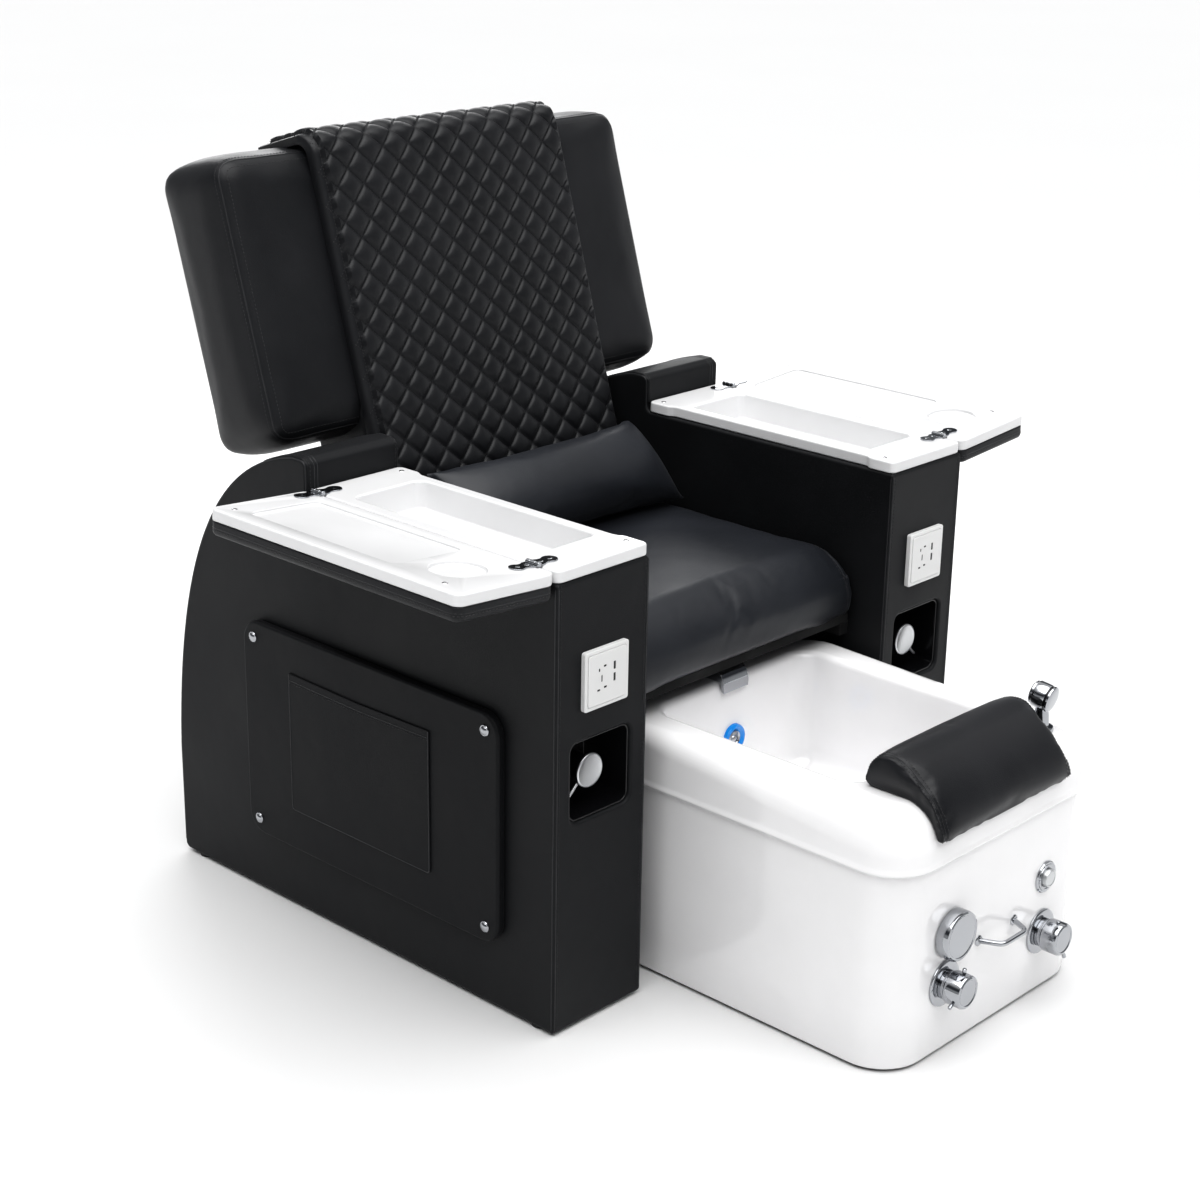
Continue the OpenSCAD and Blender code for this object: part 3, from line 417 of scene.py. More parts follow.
def turned(name, profile, middle, axis, steps=48, edge=0.0):
    """A piece turned round an axis from (radius, distance) points in millimetres."""
    bpy.ops.object.select_all(action="DESELECT")
    bpy.ops.mesh.primitive_circle_add(vertices=len(profile), fill_type="NOTHING")
    piece = bpy.context.object
    piece.name = piece.data.name = name
    for corner, (radius, reach) in zip(piece.data.vertices, profile):
        corner.co = (radius / 1000, 0, reach / 1000)
    bpy.ops.object.mode_set(mode="EDIT")
    bpy.ops.mesh.select_all(action="SELECT")
    bpy.ops.mesh.spin(steps=steps, angle=math.tau, center=(0, 0, 0), axis=(0, 0, 1), use_auto_merge=True)
    bpy.ops.mesh.select_all(action="SELECT")
    bpy.ops.mesh.remove_doubles(threshold=1e-6)
    bpy.ops.mesh.delete_loose(use_verts=True, use_edges=True, use_faces=False)
    bpy.ops.mesh.select_all(action="SELECT")
    bpy.ops.mesh.normals_make_consistent(inside=False)
    bpy.ops.object.mode_set(mode="OBJECT")
    if edge:
        ease(piece, edge, 3, 30)
    else:
        only(piece)
        bpy.ops.object.shade_smooth_by_angle(angle=math.radians(35))
    stand = Vector(axis).to_track_quat("Z", "X").to_matrix().to_4x4()
    piece.data.transform(Matrix.Translation(Vector(middle) / 1000) @ stand)
    return piece


def merge(name, pieces):
    """Joins like pieces into one."""
    only(pieces[0])
    for piece in pieces:
        piece.select_set(True)
    bpy.ops.object.join()
    bpy.context.object.name = bpy.context.object.data.name = name
    return bpy.context.object


def narrow(piece, share_x, share_y, middle, below=660):
    """Draws a shape's lowest points in towards its middle, which slopes its walls."""
    for corner in piece.data.vertices:
        if corner.co.z < below / 1000:
            corner.co.x = middle[0] / 1000 + (corner.co.x - middle[0] / 1000) * share_x
            corner.co.y = middle[1] / 1000 + (corner.co.y - middle[1] / 1000) * share_y


def hinge_slots(piece, side, near, far):
    """Lets the hinges into an edge of a tray or a lid."""
    for y in hinge_places:
        corners = [(side * near, y - 13), (side * far, y - 13), (side * far, y + 13), (side * near, y + 13)]
        carve(piece, plate("slot", corners, "z", 687, 700))


hinge_places = (45, 484)
tray_span, screw_seat = (677.2, 695), 694.6
tray_plastic = gloss("tray_plastic", (0.73, 0.73, 0.735), 0.2, coat=0.2)
steel = gloss("steel", (0.62, 0.62, 0.63), 0.22, metallic=1.0)
screw_profile = [(0, 0), (4.2, 0), (4.2, 0.5), (3.4, 1.1), (1.2, 1.5), (1.2, 0.6), (0, 0.6)]
for side, word in (left, right):
    edge_in = [(277, 44), (278.5, 49), (282, 54), (283.5, 59),
               (283.5, 452), (282, 457), (278.5, 462), (277, 467)]
    far_corners = [spot for x, y, start in ((288, 497, 180), (445, 497, 90), (445, 11.5, 0))
                   for spot in arc(x, y, 11, range(start, start - 91, -15))]
    near_corner = arc(288, 11.5, 11, range(255, 180, -15))
    outline = [(side * x, y) for x, y in edge_in + far_corners + near_corner]
    tray = plate(f"tray_top_{word}", outline, "z", *tray_span)
    well = plate("well", rounded((side * 297, 71), (side * 439, 441), 19), "z", 651.5, 686)
    narrow(well, 0.9, 0.955, (side * 368, 256))
    carve(tray, well, "UNION")
    recess = plate("recess", rounded((side * 301, 75), (side * 435, 437), 16, 8), "z", 655, 700)
    narrow(recess, 0.86, 0.94, (side * 368, 256))
    carve(tray, recess)
    hinge_slots(tray, side, 451.5, 458)
    ease(tray, 3.2, 4, 42)
    fit(tray, "chair", tray_plastic, "white_gloss", f"tray_{word}")
    screws = [turned("screw", screw_profile, (side * 293, y, screw_seat), (0, 0, 1), 20) for y in (30, 487)]
    fit(merge(f"tray_screws_{word}", screws), "chair", steel, "chrome")

# Lids: white trays of the same plastic with a cup ring and a shallow dish. A foam pad under
# black leather is glued to each underside, and the open lid stands out level from the arm.
lid_front, lid_rear, lid_near, lid_far, lid_corner, pin_height = 0, 508, 458, 635, 14, 697.2
lid_plastic = gloss("lid_plastic", (0.73, 0.73, 0.735), 0.2, coat=0.2)
lid_leather = leather("lid_leather", (0.0085, 0.009, 0.0105), (0.012, 0.0125, 0.0145), 0.45)


def round_where(piece, radius, steps, test):
    """Rounds the edges whose two ends both pass a test, given in millimetres."""
    only(piece)
    bpy.ops.object.mode_set(mode="EDIT")
    bpy.ops.mesh.select_mode(type="EDGE")
    bpy.ops.mesh.select_all(action="DESELECT")
    shape = bmesh.from_edit_mesh(piece.data)
    for edge in shape.edges:
        edge.select_set(all(test(v.co * 1000) for v in edge.verts))
    bmesh.update_edit_mesh(piece.data)
    bpy.ops.mesh.bevel(offset=radius / 1000, segments=steps, affect="EDGES", clamp_overlap=False)
    bpy.ops.object.mode_set(mode="OBJECT")


def open_lid(side):
    """Where an open lid's parts go: tilted up a little about the hinge pins."""
    pin = Vector((side * arm_out, 0, pin_height)) / 1000
    return (arms_front @ Matrix.Translation(pin) @ Matrix.Rotation(math.radians(-4 * side), 4, "Y")
            @ Matrix.Translation(-pin))


for side, word in (left, right):
    lid_outline = rounded((side * lid_near, lid_front), (side * lid_far, lid_rear), lid_corner)
    lid = plate(f"lid_top_{word}", lid_outline, "z", *tray_span)
    hinge_slots(lid, side, 456, 462.5)
    ease(lid, 3.2, 4, 42)
    carve(lid, turned("cup_cut", [(0, 0), (38, 0), (41, 12), (0, 12)], (side * 553, 88, 690), (0, 0, 1), 64))
    carve(lid, plate("dish_cut", rounded((side * 483, 150), (side * 607, 455), 14), "z", 691.5, 700))
    ease(lid, 1.3, 3, 42)
    body, place = f"lid_{word}", open_lid(side)
    fit(lid, body, lid_plastic, "white_gloss", f"lid_tray_{word}", place=place)
    screws = [turned("screw", screw_profile, (side * 611, y, screw_seat), (0, 0, 1), 20) for y in (50, 480)]
    fit(merge(f"lid_screws_{word}", screws), body, steel, "chrome", place=place)

    pad = plate(f"lid_pad_cover_{word}", rounded((side * 458.6, 0.6), (side * 634.4, 507.4), lid_corner), "z",
                655.4, tray_under)
    round_where(pad, 8, 5, lambda p: p.z < 656)
    round_where(pad, 2, 3, lambda p: p.z > 676.5)
    bpy.ops.object.shade_smooth()
    hem, low_hem = ([(*p, z) for p in lid_outline + lid_outline[:1]] for z in (668.5, 665))
    fit(piping(f"lid_pad_welt_{word}", pad, [hem], 0.9, 0.35), body, welt_highlight_leather, "black_leather",
        place=place)
    fit(sew(f"lid_pad_thread_{word}", pad, [low_hem]), body, black_thread, "black_leather", place=place)
    fit(pad, body, lid_leather, "black_leather", f"lid_pad_{word}", place=place)

# Hinges: pressed and chromed leaves with a waisted outline, rolled round a steel pin and
# held by two sunk screws each. The tray has the middle knuckle and the lid two.
chrome = gloss("chrome", (0.43, 0.44, 0.46), 0.07, 0.05, metallic=1.0)
leaf_edge = [(5, 12), (11, 12), (15, 9.6), (19, 8.6), (23, 9.4), (26, 11.2), (30, 12)]
leaf_end = arc(30, 0, 12, range(75, -76, -15))
leaf_span, knuckle_r, pin_r, knuckle_half = (695.1, 697), 4, 1.5, 12
leaf_screw = [(0, 0), (3.9, 0), (3.7, 0.1), (1.3, 0.16), (1, -0.5), (0, -0.5)]
fixed_leaves = []
for side, word in (left, right):
    for out in (-1, 1):
        hinges = []
        for y in hinge_places:
            shape = [*leaf_edge, *leaf_end, *((u, -w) for u, w in reversed(leaf_edge))]
            leaf = plate("leaf", [(side * (arm_out + out * u), y + w) for u, w in shape], "z", *leaf_span)
            ease(leaf, 0.6, 2)
            hinges.append(leaf)
            pin_middle = (side * arm_out, y, pin_height)
            for low, high in [(-4.8, 4.8)] if out < 0 else [(-knuckle_half, -5), (5, knuckle_half)]:
                roll = [(pin_r, low), (knuckle_r - 0.4, low), (knuckle_r, low + 0.4), (knuckle_r, high - 0.4),
                        (knuckle_r - 0.4, high), (pin_r, high)]
                hinges.append(turned("knuckle", roll, pin_middle, (0, 1, 0), 28))
                tongue = [(side * (arm_out + out * u), y + w)
                          for u, w in ((3, low), (7, low), (7, high), (3, high))]
                hinges.append(plate("tongue", tongue, "z", *leaf_span))
            if out < 0:
                pin_shape = [(0, -12.6), (1.2, -12.6), (pin_r, -knuckle_half),
                             (pin_r, knuckle_half), (1.2, 12.6), (0, 12.6)]
                hinges.append(turned("pin", pin_shape, pin_middle, (0, 1, 0), 20))
            for u in (13, 30):
                screw_spot = (side * (arm_out + out * u), y, leaf_span[1])
                hinges.append(turned("screw", leaf_screw, screw_spot, (0, 0, 1), 20))
        if out < 0:
            fixed_leaves += hinges
        else:
            fit(merge(f"hinge_lid_{word}", hinges), f"lid_{word}", chrome, "chrome", f"hinge_leaf_{word}",
                place=open_lid(side))
fit(merge("hinge_tray", fixed_leaves), "chair", chrome, "chrome", "hinges_fixed")

# Side panels: boards under black leather, held on by four chromed buttons. A flat pocket
# with a hemmed top is sewn on the middle of each.
panel_face = 472
panel_leather = leather("panel_leather", (0.007, 0.0074, 0.0084), (0.01, 0.0105, 0.012), 0.52, shine=0.16)
for side, word in (left, right):
    panel = plate(f"panel_cover_{word}", rounded((96, 111), (655, 465), 35, 8), "x", side * arm_out,
                  side * panel_face)
    ease(panel, 5, 4)
    pocket = plate(f"pocket_{word}", [(234, 184), (238, 180), (541, 180), (545, 184), (544, 404), (500, 403),
                                      (390, 401), (280, 403), (235, 404)], "x", side * 471.8, side * 474.6)
    ease(pocket, 1.2, 3)
    rim = [(side * 473, *p) for p in ((238, 398), (238, 184), (541, 184), (541, 398))]
    hem = [[(side * 475, y, z) for y, z in ((237, 393), (390, 390), (542, 393))]]
    bound = [[(side * 475, y, z) for y, z in ((235.6, 403), (235.6, 182), (238, 180.6), (541, 180.6),
                                              (543.6, 183), (543.6, 403))]]
    fit(piping(f"pocket_hem_{word}", pocket, hem + bound, 0.9, 0.3, 5), "chair", welt_highlight_leather,
        "black_leather")
    below_hem = [(x, y, z - 4) for x, y, z in hem[0]]
    fit(sew(f"pocket_thread_{word}", pocket, [rim, below_hem]), "chair", black_thread, "black_leather")
    fit(pocket, "chair", panel_leather, "black_leather")
    fit(panel, "chair", panel_leather, "black_leather", f"panel_{word}")
button_shape = [(0, 0), (8.6, 0), (8.6, 1.4), (7.8, 2.3), (6.6, 2.4), (6.1, 3.0), (4.6, 4.3), (2.4, 5.1),
                (0, 5.4)]
buttons = [turned("button", button_shape, (side * panel_face, y, z), (side, 0, 0), 32)
           for side in (-1, 1) for y in (122, 629) for z in (137, 439)]
fit(merge("panel_buttons_chrome", buttons), "chair", chrome, "chrome", "panel_buttons")

# Sockets: white moulded outlets let into the arm fronts. Each has a bevelled frame and a
# flat insert with two pin holes, three slots and two charging ports.
socket_plastic = gloss("socket_plastic", (0.74, 0.74, 0.735), 0.38, 0.01)
# A near-black finish for the sheet behind the socket holes: painted shade in the holes.
painted_hole_shade = gloss("painted_hole_shade", (0.01, 0.01, 0.011), 0.6)
for side, word in (left, right):
    x, z = side * arm_middle, 527

    def square(half, radius):
        """Outline of a square plate round the socket's middle."""
        return rounded((x - half, z - half), (x + half, z + half), radius)

    frame_plate = plate(f"socket_frame_{word}", square(43, 4), "y", -8.2, 0.4)
    carve(frame_plate, plate("window", square(37.2, 3), "y", -12, 4))
    ease(frame_plate, 1.4, 3)
    insert = plate("insert", square(37, 3), "y", -9, -2)
    ease(insert, 0.7, 2)
    for u, v, wide, tall in ((-16, 13, 3, 5), (-5, 17, 5.5, 3), (-11, 0, 2.6, 10), (-17, -16, 6, 3),
                             (-4, -14, 6, 3.2), (14, 13, 4.4, 12), (14, -4, 4.4, 12)):
        low, high = (x + u - wide / 2, z + v - tall / 2), (x + u + wide / 2, z + v + tall / 2)
        carve(insert, plate("hole", rounded(low, high, 0.9, 3), "y", -12, 0))
    # A black sheet just behind the insert shows through every hole as painted shade.
    hole_shade_sheet = plate(f"socket_hole_shade_{word}", [(x - 30, z - 30), (x + 30, z - 30), (x + 30, z + 30),
                                              (x - 30, z + 30)], "y", -8.4, -3)
    fit(merge(f"socket_cover_{word}", [frame_plate, insert]), "chair", socket_plastic, "white_plastic",
        f"socket_{word}")
    fit(hole_shade_sheet, "chair", painted_hole_shade, "white_plastic")

# Niches: black plastic boxes set into the arm fronts behind a soft leather lip. The knob
# in each lets the gas spring go: a bright disc on a black hub, with a thin lever.
knob_height = 378
niche_plastic = gloss("niche_plastic", (0.006, 0.006, 0.007), 0.22, 0.06)
satin = gloss("satin_alloy", (0.6, 0.61, 0.62), 0.3, 0.03, metallic=1.0)
for side, word in (left, right):
    liner = plate(f"niche_box_{word}", rounded((side * 307.4, 320.4), (side * 426.6, 439.6), 15), "y",
                  4.5, 90)
    carve(liner, plate("inside", rounded((side * 310.5, 323.5), (side * 423.5, 436.5), 12), "y", 0, 87))
    ease(liner, 1.1, 3)
    fit(liner, "chair", niche_plastic, "black_plastic", f"niche_{word}")
    x = side * arm_middle
    disc = turned("disc", [(0, 0), (24, 0), (25.5, 1.2), (25.5, 4.6), (24.6, 5.6), (23.2, 6), (22.4, 5.5),
                           (0, 5.2)], (x, 26, knob_height), (0, -1, 0), 64)
    lever = turned("lever", [(0, 0), (2.5, 0.6), (2.5, 51), (2.1, 53), (1.2, 54), (0, 54.3)],
                   (x, 29, knob_height), (side * 0.731, 0, -0.682), 20)
    fit(merge(f"release_disc_{word}", [disc, lever]), f"release_{word}", satin, "chrome",
        f"release_knob_{word}")
    hub = turned(f"release_hub_{word}", [(0, -12), (6, -12), (6, 26), (17, 26), (18, 27), (18, 58), (17, 60),
                                         (0, 60)], (x, 86, knob_height), (0, -1, 0), 48)
    fit(hub, f"release_{word}", niche_plastic, "black_plastic")

# Seat: one thick foam cushion in black leather with a full roll at the front. The top
# panel runs over the roll, and the side panels are sewn to it along a curved seam.


def plump(piece, voxel, cap, low, high, pressure=4.0, held=None, calm=4):
    """Fills a cover with foam: it is blown up as cloth, by no more than a cap, and kept in its room."""
    only(piece)
    piece.data.remesh_voxel_size = voxel / 1000
    bpy.ops.object.voxel_remesh()
    rest = [(v.co.copy(), v.normal.copy()) for v in piece.data.vertices]
    cloth = piece.modifiers.new("cloth", "CLOTH")
    cloth.settings.quality = 4
    cloth.settings.use_pressure = True
    cloth.settings.uniform_pressure_force = pressure
    cloth.settings.effector_weights.gravity = 0
    for moment in range(1, 21):
        bpy.context.scene.frame_set(moment)
    bpy.ops.object.modifier_apply(modifier="cloth")
    bpy.context.scene.frame_set(1)
    for corner, (was, outward) in zip(piece.data.vertices, rest):
        move = corner.co - was
        if held and held(was * 1000, outward):
            move = Vector()
        if move.length > cap / 1000:
            move = move.normalized() * cap / 1000
        spot = was + move
        corner.co = [min(max(c, a / 1000), b / 1000) for c, a, b in zip(spot, low, high)]
    smoother = piece.modifiers.new("smooth", "SMOOTH")
    smoother.factor, smoother.iterations = 0.5, calm
    bpy.ops.object.modifier_apply(modifier="smooth")
    finer = piece.modifiers.new("finer", "SUBSURF")
    finer.levels = finer.render_levels = 1
    bpy.ops.object.modifier_apply(modifier="finer")
    bpy.ops.object.shade_smooth()
    return piece


def press(piece, paths, width, depth, pucker=0.0, spacing=11.0):
    """Draws a cover in along its seams, with small puckers across them."""
    spots = []
    for path in paths:
        for i, (spot, _) in enumerate(walk(path, 2.0)):
            spots.append((spot, i * 2.0))
    tree = KDTree(len(spots))
    for i, (spot, _) in enumerate(spots):
        tree.insert(spot, i)
    tree.balance()
    moved = []
    for corner in piece.data.vertices:
        _, i, gap = tree.find(corner.co)
        gap *= 1000
        reach = width * (1 + 2.2 * (pucker > 0))
        if gap > reach:
            continue
        dip = depth * max(0, 1 - (gap / width) ** 2) ** 2
        wave = noise.noise(Vector((spots[i][1] / spacing, gap / 25, 0.5 * i / len(spots))))
        dip += pucker * wave * (1 - gap / reach) ** 1.5
        moved.append((corner, corner.co - corner.normal * dip / 1000))
    for corner, spot in moved:
        corner.co = spot


seat_half, seat_under = 270, 437.3
seat_nose = [(64, 430), (41, 438), (50, 538), (135, 537)]
seat_tail = [(480, 537), (520, 536), (531, 520), (531, 444)]
# The seat leather is the same black leather, made lighter and bluer than the other covers: painted sheen of the
# bright surroundings on the seat's top.
seat_sheen_leather = leather("seat_sheen_leather", (0.0125, 0.014, 0.0175), (0.0165, 0.0185, 0.0235), 0.38, 0.25,
                       0.3, 0.38)
seat_side = [bend(seat_nose, i / 20) for i in range(20)] + [bend(seat_tail, i / 12) for i in range(13)]
seat = plate("seat_cushion_cover", [*seat_side, (531, 441), (68, 441), (65, 437), (65, 430)], "x", -seat_half,
             seat_half)
plump(seat, 6, 7, (-275.5, 38, 429), (275.5, 536, 543), pressure=3)
for corner in seat.data.vertices:
    x, y, z = corner.co * 1000
    if y > 65.6 and z < seat_under:
        corner.co.z = seat_under / 1000
    crown = max(0, 1 - (x / 262) ** 4) * max(0, min(1, (z - 500) / 30))
    corner.co.z += (3.5 * crown - 7 * max(0, abs(x) - 235) / 40 * (z > 500)) / 1000
seams = [[(x, *p) for p in seat_side[:28]] for x in (-262, 262)]
press(seat, seams, 7, 2.2, 1.0)
fit(piping("seat_welts", seat, seams, 1.0, 0.3), "chair", seat_sheen_leather, "padded_leather")
beside_seams = [[(x * 0.975, y, z) for x, y, z in seam] for seam in seams]
fit(sew("seat_thread", seat, beside_seams), "chair", black_thread, "padded_leather")
fit(seat, "chair", seat_sheen_leather, "padded_leather", "seat_cushion")

# Lumbar pillow: a loose leather pillow, wider at the bottom, that leans in the corner of
# seat and back. It is sewn from two panels, and the leather gathers along their seam.
lean = math.radians(40)


def pillow_shell(name, wide, tall, seam_of, swell, front, rear):
    """A pillow's two panels on one seam, as a closed shell."""
    shell = bmesh.new()
    corners = {}
    for face_side, depth in ((1, front), (-1, rear)):
        for j in range(tall + 1):
            for i in range(wide + 1):
                u, v = 2 * i / wide - 1, 2 * j / tall - 1
                on_seam = abs(u) == 1 or abs(v) == 1
                if face_side < 0 and on_seam:
                    corners[-1, i, j] = corners[1, i, j]
                else:
                    spot = seam_of(u, v, swell(u, v) * depth * face_side) / 1000
                    corners[face_side, i, j] = shell.verts.new(spot)
        for j in range(tall):
            for i in range(wide):
                ring = [corners[face_side, a, b] for a, b in ((i, j), (i + 1, j), (i + 1, j + 1), (i, j + 1))]
                shell.faces.new(ring if face_side > 0 else ring[::-1])
    bmesh.ops.recalc_face_normals(shell, faces=shell.faces)
    return made_of(name, shell)


def lumbar_spot(u, v, off):
    """A point of the lumbar pillow: across, up its lean and off its middle."""
    x = u * (1 - 0.03 * (1 - v * v)) * (246 - 16 * v)
    up = v * (1 - 0.05 * (1 - u * u)) * 83
    return Vector((x, 457 + up * math.sin(lean) - off * math.cos(lean),
                   613 + up * math.cos(lean) + off * math.sin(lean)))


lumbar = pillow_shell("lumbar_pillow_cover", 40, 16, lumbar_spot,
                      lambda u, v: max(0.02, 1 - abs(u) ** 4) ** 0.6 * max(0.02, 1 - v * v) ** 0.55, 52, 46)
plump(lumbar, 5, 10, (-268, 330, 541.5), (268, 560, 760))
lumbar_seam = [lumbar_spot(u, v, 0) for u, v in
               [(-1 + i / 15, -1) for i in range(31)] + [(1, -1 + i / 8) for i in range(1, 17)]
               + [(1 - i / 15, 1) for i in range(1, 31)] + [(-1, 1 - i / 8) for i in range(1, 17)]]
press(lumbar, [lumbar_seam], 6, 1.5, 2.6, 13)
# The lumbar pillow takes the seat leather, with its painted sheen.
fit(piping("lumbar_welt", lumbar, [lumbar_seam], 1.3, 0.2), "lumbar", seat_sheen_leather, "padded_leather")
fit(lumbar, "lumbar", seat_sheen_leather, "padded_leather", "lumbar_pillow")

# Back: a foam slab on a plywood board in black leather, with wings that reach over the
# arms. The front panel is sewn to a gusset, with a row of stitches beside the seam.
on_slope = arms_front @ Matrix.Translation((0, 0.548, 0.548)) @ Matrix.Rotation(math.radians(73), 4, "X")
back_leather = leather("back_leather", (0.0085, 0.009, 0.0105), (0.0125, 0.013, 0.015), 0.42, 0.25, 0.35)
wings = plate("back_cover", rounded((-428, 184), (428, 636), 34, 6), "z", -166, -4)
round_where(wings, 18, 5, lambda p: p.z > -5)
round_where(wings, 20, 5, lambda p: p.z < -165)
plump(wings, 7, 5, (-431.8, 178, -170), (431.8, 642, -0.2), 2, calm=24)
for corner in wings.data.vertices:
    closer = max(0, min(1, (corner.co.z + 0.16) / 0.15))
    corner.co.y = 0.41 + (corner.co.y - 0.41) * (1 - 0.042 * closer)
back_lines = []
for half, low, high, corner, depth in ((430, 190, 628, 26, -9), (414, 206, 612, 16, 0),
                                       (405, 205, 613, 16, -170), (432, 188, 630, 22, -19)):
    back_lines.append([(*p, depth) for p in rounded((-half, low), (half, high), corner)])
front_seam, inner, rear_seam, gusset_row = back_lines
for seam_line in (front_seam, inner, rear_seam):
    seam_line.append(seam_line[0])
press(wings, [front_seam, rear_seam], 5, 1.4, 0.6)
fit(piping("back_welts", wings, [front_seam, rear_seam], 1.2, 0.2), "back", welt_highlight_leather, "padded_leather",
    place=on_slope)
fit(sew("back_thread", wings, [inner, gusset_row]), "back", black_thread, "padded_leather", place=on_slope)
core = plate("back_core_cover", rounded((-261, 2), (261, 240), 10), "z", -124, -1)
ease(core, 9, 4)
fit(core, "back", back_leather, "padded_leather", place=on_slope)
fit(wings, "back", back_leather, "padded_leather", "back_shell", place=on_slope)

# Quilted pad: a thin foam mat sewn through in diamonds, laid over the middle of the back
# and over its top edge. Its border is bound and stitched down.


across, along, turn_from, turn_to, diamond, turn_r, fine = 20, 29, 23, 26, 26.2, 22, 9


def pad_line(j):
    """Slope, offset and outward way of the pad's underside, counted in rows of diamonds."""
    if j <= turn_from:
        return 2 + j * 606 / turn_from, 0, 0, 1
    if j <= turn_to:
        a = math.radians(90 * (j - turn_from) / 3)
        return 608 + turn_r * math.sin(a), turn_r * (math.cos(a) - 1), math.sin(a), math.cos(a)
    return 630, -turn_r - 30 * (j - turn_to), 1, 0


def pad_spot(i, j, lift):
    """A point over the pad's underside, in millimetres on the back's slope."""
    s, t, ds, dt = pad_line(j)
    return Vector(((i - across / 2) * diamond, s + lift * ds, t + lift * dt))


def pad_lift(i, j):
    """Height of the pad: puffed between the stitch lines and bound low round the rim."""
    rim = min(i, across - i, j, along - j) * diamond
    p, q = (i + j) / 2, (i - j) / 2
    puff = (abs(math.sin(math.pi * p)) * abs(math.sin(math.pi * q))) ** 0.36
    thin = 1 if j < 24 else max(0.8, 1 - 0.2 * (j - 24) / 2)
    body = (22.5 + 7 * puff) * thin
    if rim < 13:
        round_off = math.sqrt(max(0, 1 - (1 - max(rim, 0.3) / 13) ** 2))
        body = 12 + (19 * thin - 12) * round_off
    return body


pad_mesh = bmesh.new()
rows = [[pad_mesh.verts.new(pad_spot(i / fine, j / fine, pad_lift(i / fine, j / fine)) / 1000)
         for i in range(across * fine + 1)] for j in range(along * fine + 1)]
under = [[pad_mesh.verts.new(pad_spot(i, j / fine, 0.4) / 1000) for i in (0, across)]
         for j in range(along * fine + 1)]
for low, high in zip(rows, rows[1:]):
    for i in range(across * fine):
        pad_mesh.faces.new((low[i], low[i + 1], high[i + 1], high[i]))
for j in range(along * fine):
    pad_mesh.faces.new((under[j][0], rows[j][0], rows[j + 1][0], under[j + 1][0]))
    pad_mesh.faces.new((under[j][1], under[j + 1][1], rows[j + 1][-1], rows[j][-1]))
    pad_mesh.faces.new((under[j][0], under[j + 1][0], under[j + 1][1], under[j][1]))
pad_mesh.faces.new([*rows[0][::-1], under[0][0], under[0][1]])
pad_mesh.faces.new([*rows[-1], under[-1][1], under[-1][0]])
bmesh.ops.recalc_face_normals(pad_mesh, faces=pad_mesh.faces)
quilt = only(made_of("quilted_pad", pad_mesh))
bpy.ops.object.shade_smooth_by_angle(angle=math.radians(60))
diagonals = []
for start in range(1 - along, across, 2):
    for way in (1, -1):
        run = [(start + k, k) if way > 0 else (across - start - k, k) for k in range(along + 1)]
        run = [(i, j) for i, j in run if 0 <= i <= across]
        if len(run) > 1:
            diagonals.append([pad_spot(i, j, 22.5) for i, j in run])
border = [pad_spot(i, j, 19) for i, j in [(0.42, 0.42 + k * 0.5) for k in range(57)]
          + [(0.42 + k, 28.6) for k in range(20)] + [(19.58, 28.6 - k * 0.5) for k in range(57)]
          + [(19.58 - k, 0.42) for k in range(20)]]
quilt_leather = leather("quilt_leather", (0.009, 0.0095, 0.011), (0.0135, 0.014, 0.016), 0.4, 0.25, 0.15)
fit(sew("quilt_thread", quilt, diagonals, 5.2, 3.7, 0.5), "back", black_thread, "padded_leather",
    place=on_slope)
fit(sew("quilt_border_thread", quilt, [[*border, border[0]]], 5.2, 3.7, 0.5), "back", black_thread,
    "padded_leather", place=on_slope)
fit(quilt, "back", quilt_leather, "padded_leather", "back_pad", place=on_slope)

# Basin: white moulded acrylic. The rim is one shell with the bowl, drawn over a mould, so
# it is full and round at the front. The skirt is a second shell, tucked under the rim.
acrylic = gloss("acrylic", (0.85, 0.845, 0.85), 0.1, 0.012, coat=0.6)
tub_low, tub_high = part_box("basin_rim")
tub_middle = Matrix.Translation(((tub_low[0] + tub_high[0]) / 2, 0, 0)) @ arms_front
tub_half, rim_top, seam = 245, 388, 302.3
rim_corner, rim_corner_rear, rim_corner_front, skirt_inset = 70, 80, -343, 4
bowl_half, bowl_front, bowl_rear, bowl_floor, bowl_corner = 176, -280, 92, 200, 36
bowl_lean, lip_round, floor_round, drain_y, drain_r = 14, 12, 32, -110, 20


def round_ring(corners, steps=10):
    """One closed line through four rounded corners: x, y, height, radius of each."""
    ring = []
    for start, (x, y, z, radius) in zip((0, 90, 180, 270), corners):
        ring += [(*p, z) for p in arc(x, y, radius, [start + 90 * k / steps for k in range(steps + 1)])]
    return ring


def shell_of(name, rings, wall):
    """A thin shell bridged through closed lines, then given its wall inwards."""
    skin = bmesh.new()
    loops = [[skin.verts.new(Vector(p) / 1000) for p in ring] for ring in rings]
    for low, high in zip(loops, loops[1:]):
        for i in range(len(low)):
            skin.faces.new((low[i], low[(i + 1) % len(low)], high[(i + 1) % len(low)], high[i]))
    piece = only(made_of(name, skin))
    solid = piece.modifiers.new("wall", "SOLIDIFY")
    solid.thickness = wall / 1000
    solid.offset = -1
    bpy.ops.object.modifier_apply(modifier="wall")
    bpy.ops.object.shade_smooth_by_angle(angle=math.radians(40))
    return piece


def rim_ring(lift, radius_front, radius_rear):
    """A line round the rim where its roundings have turned up by an angle."""
    a = math.radians(lift)
    found = []
    for x, y, r in ((1, rim_corner_rear, radius_rear), (-1, rim_corner_rear, radius_rear),
                    (-1, rim_corner_front, radius_front), (1, rim_corner_front, radius_front)):
        found.append((x * (tub_half - rim_corner), y, rim_top - r + r * math.sin(a),
                      rim_corner - r + r * math.cos(a)))
    return round_ring(found)


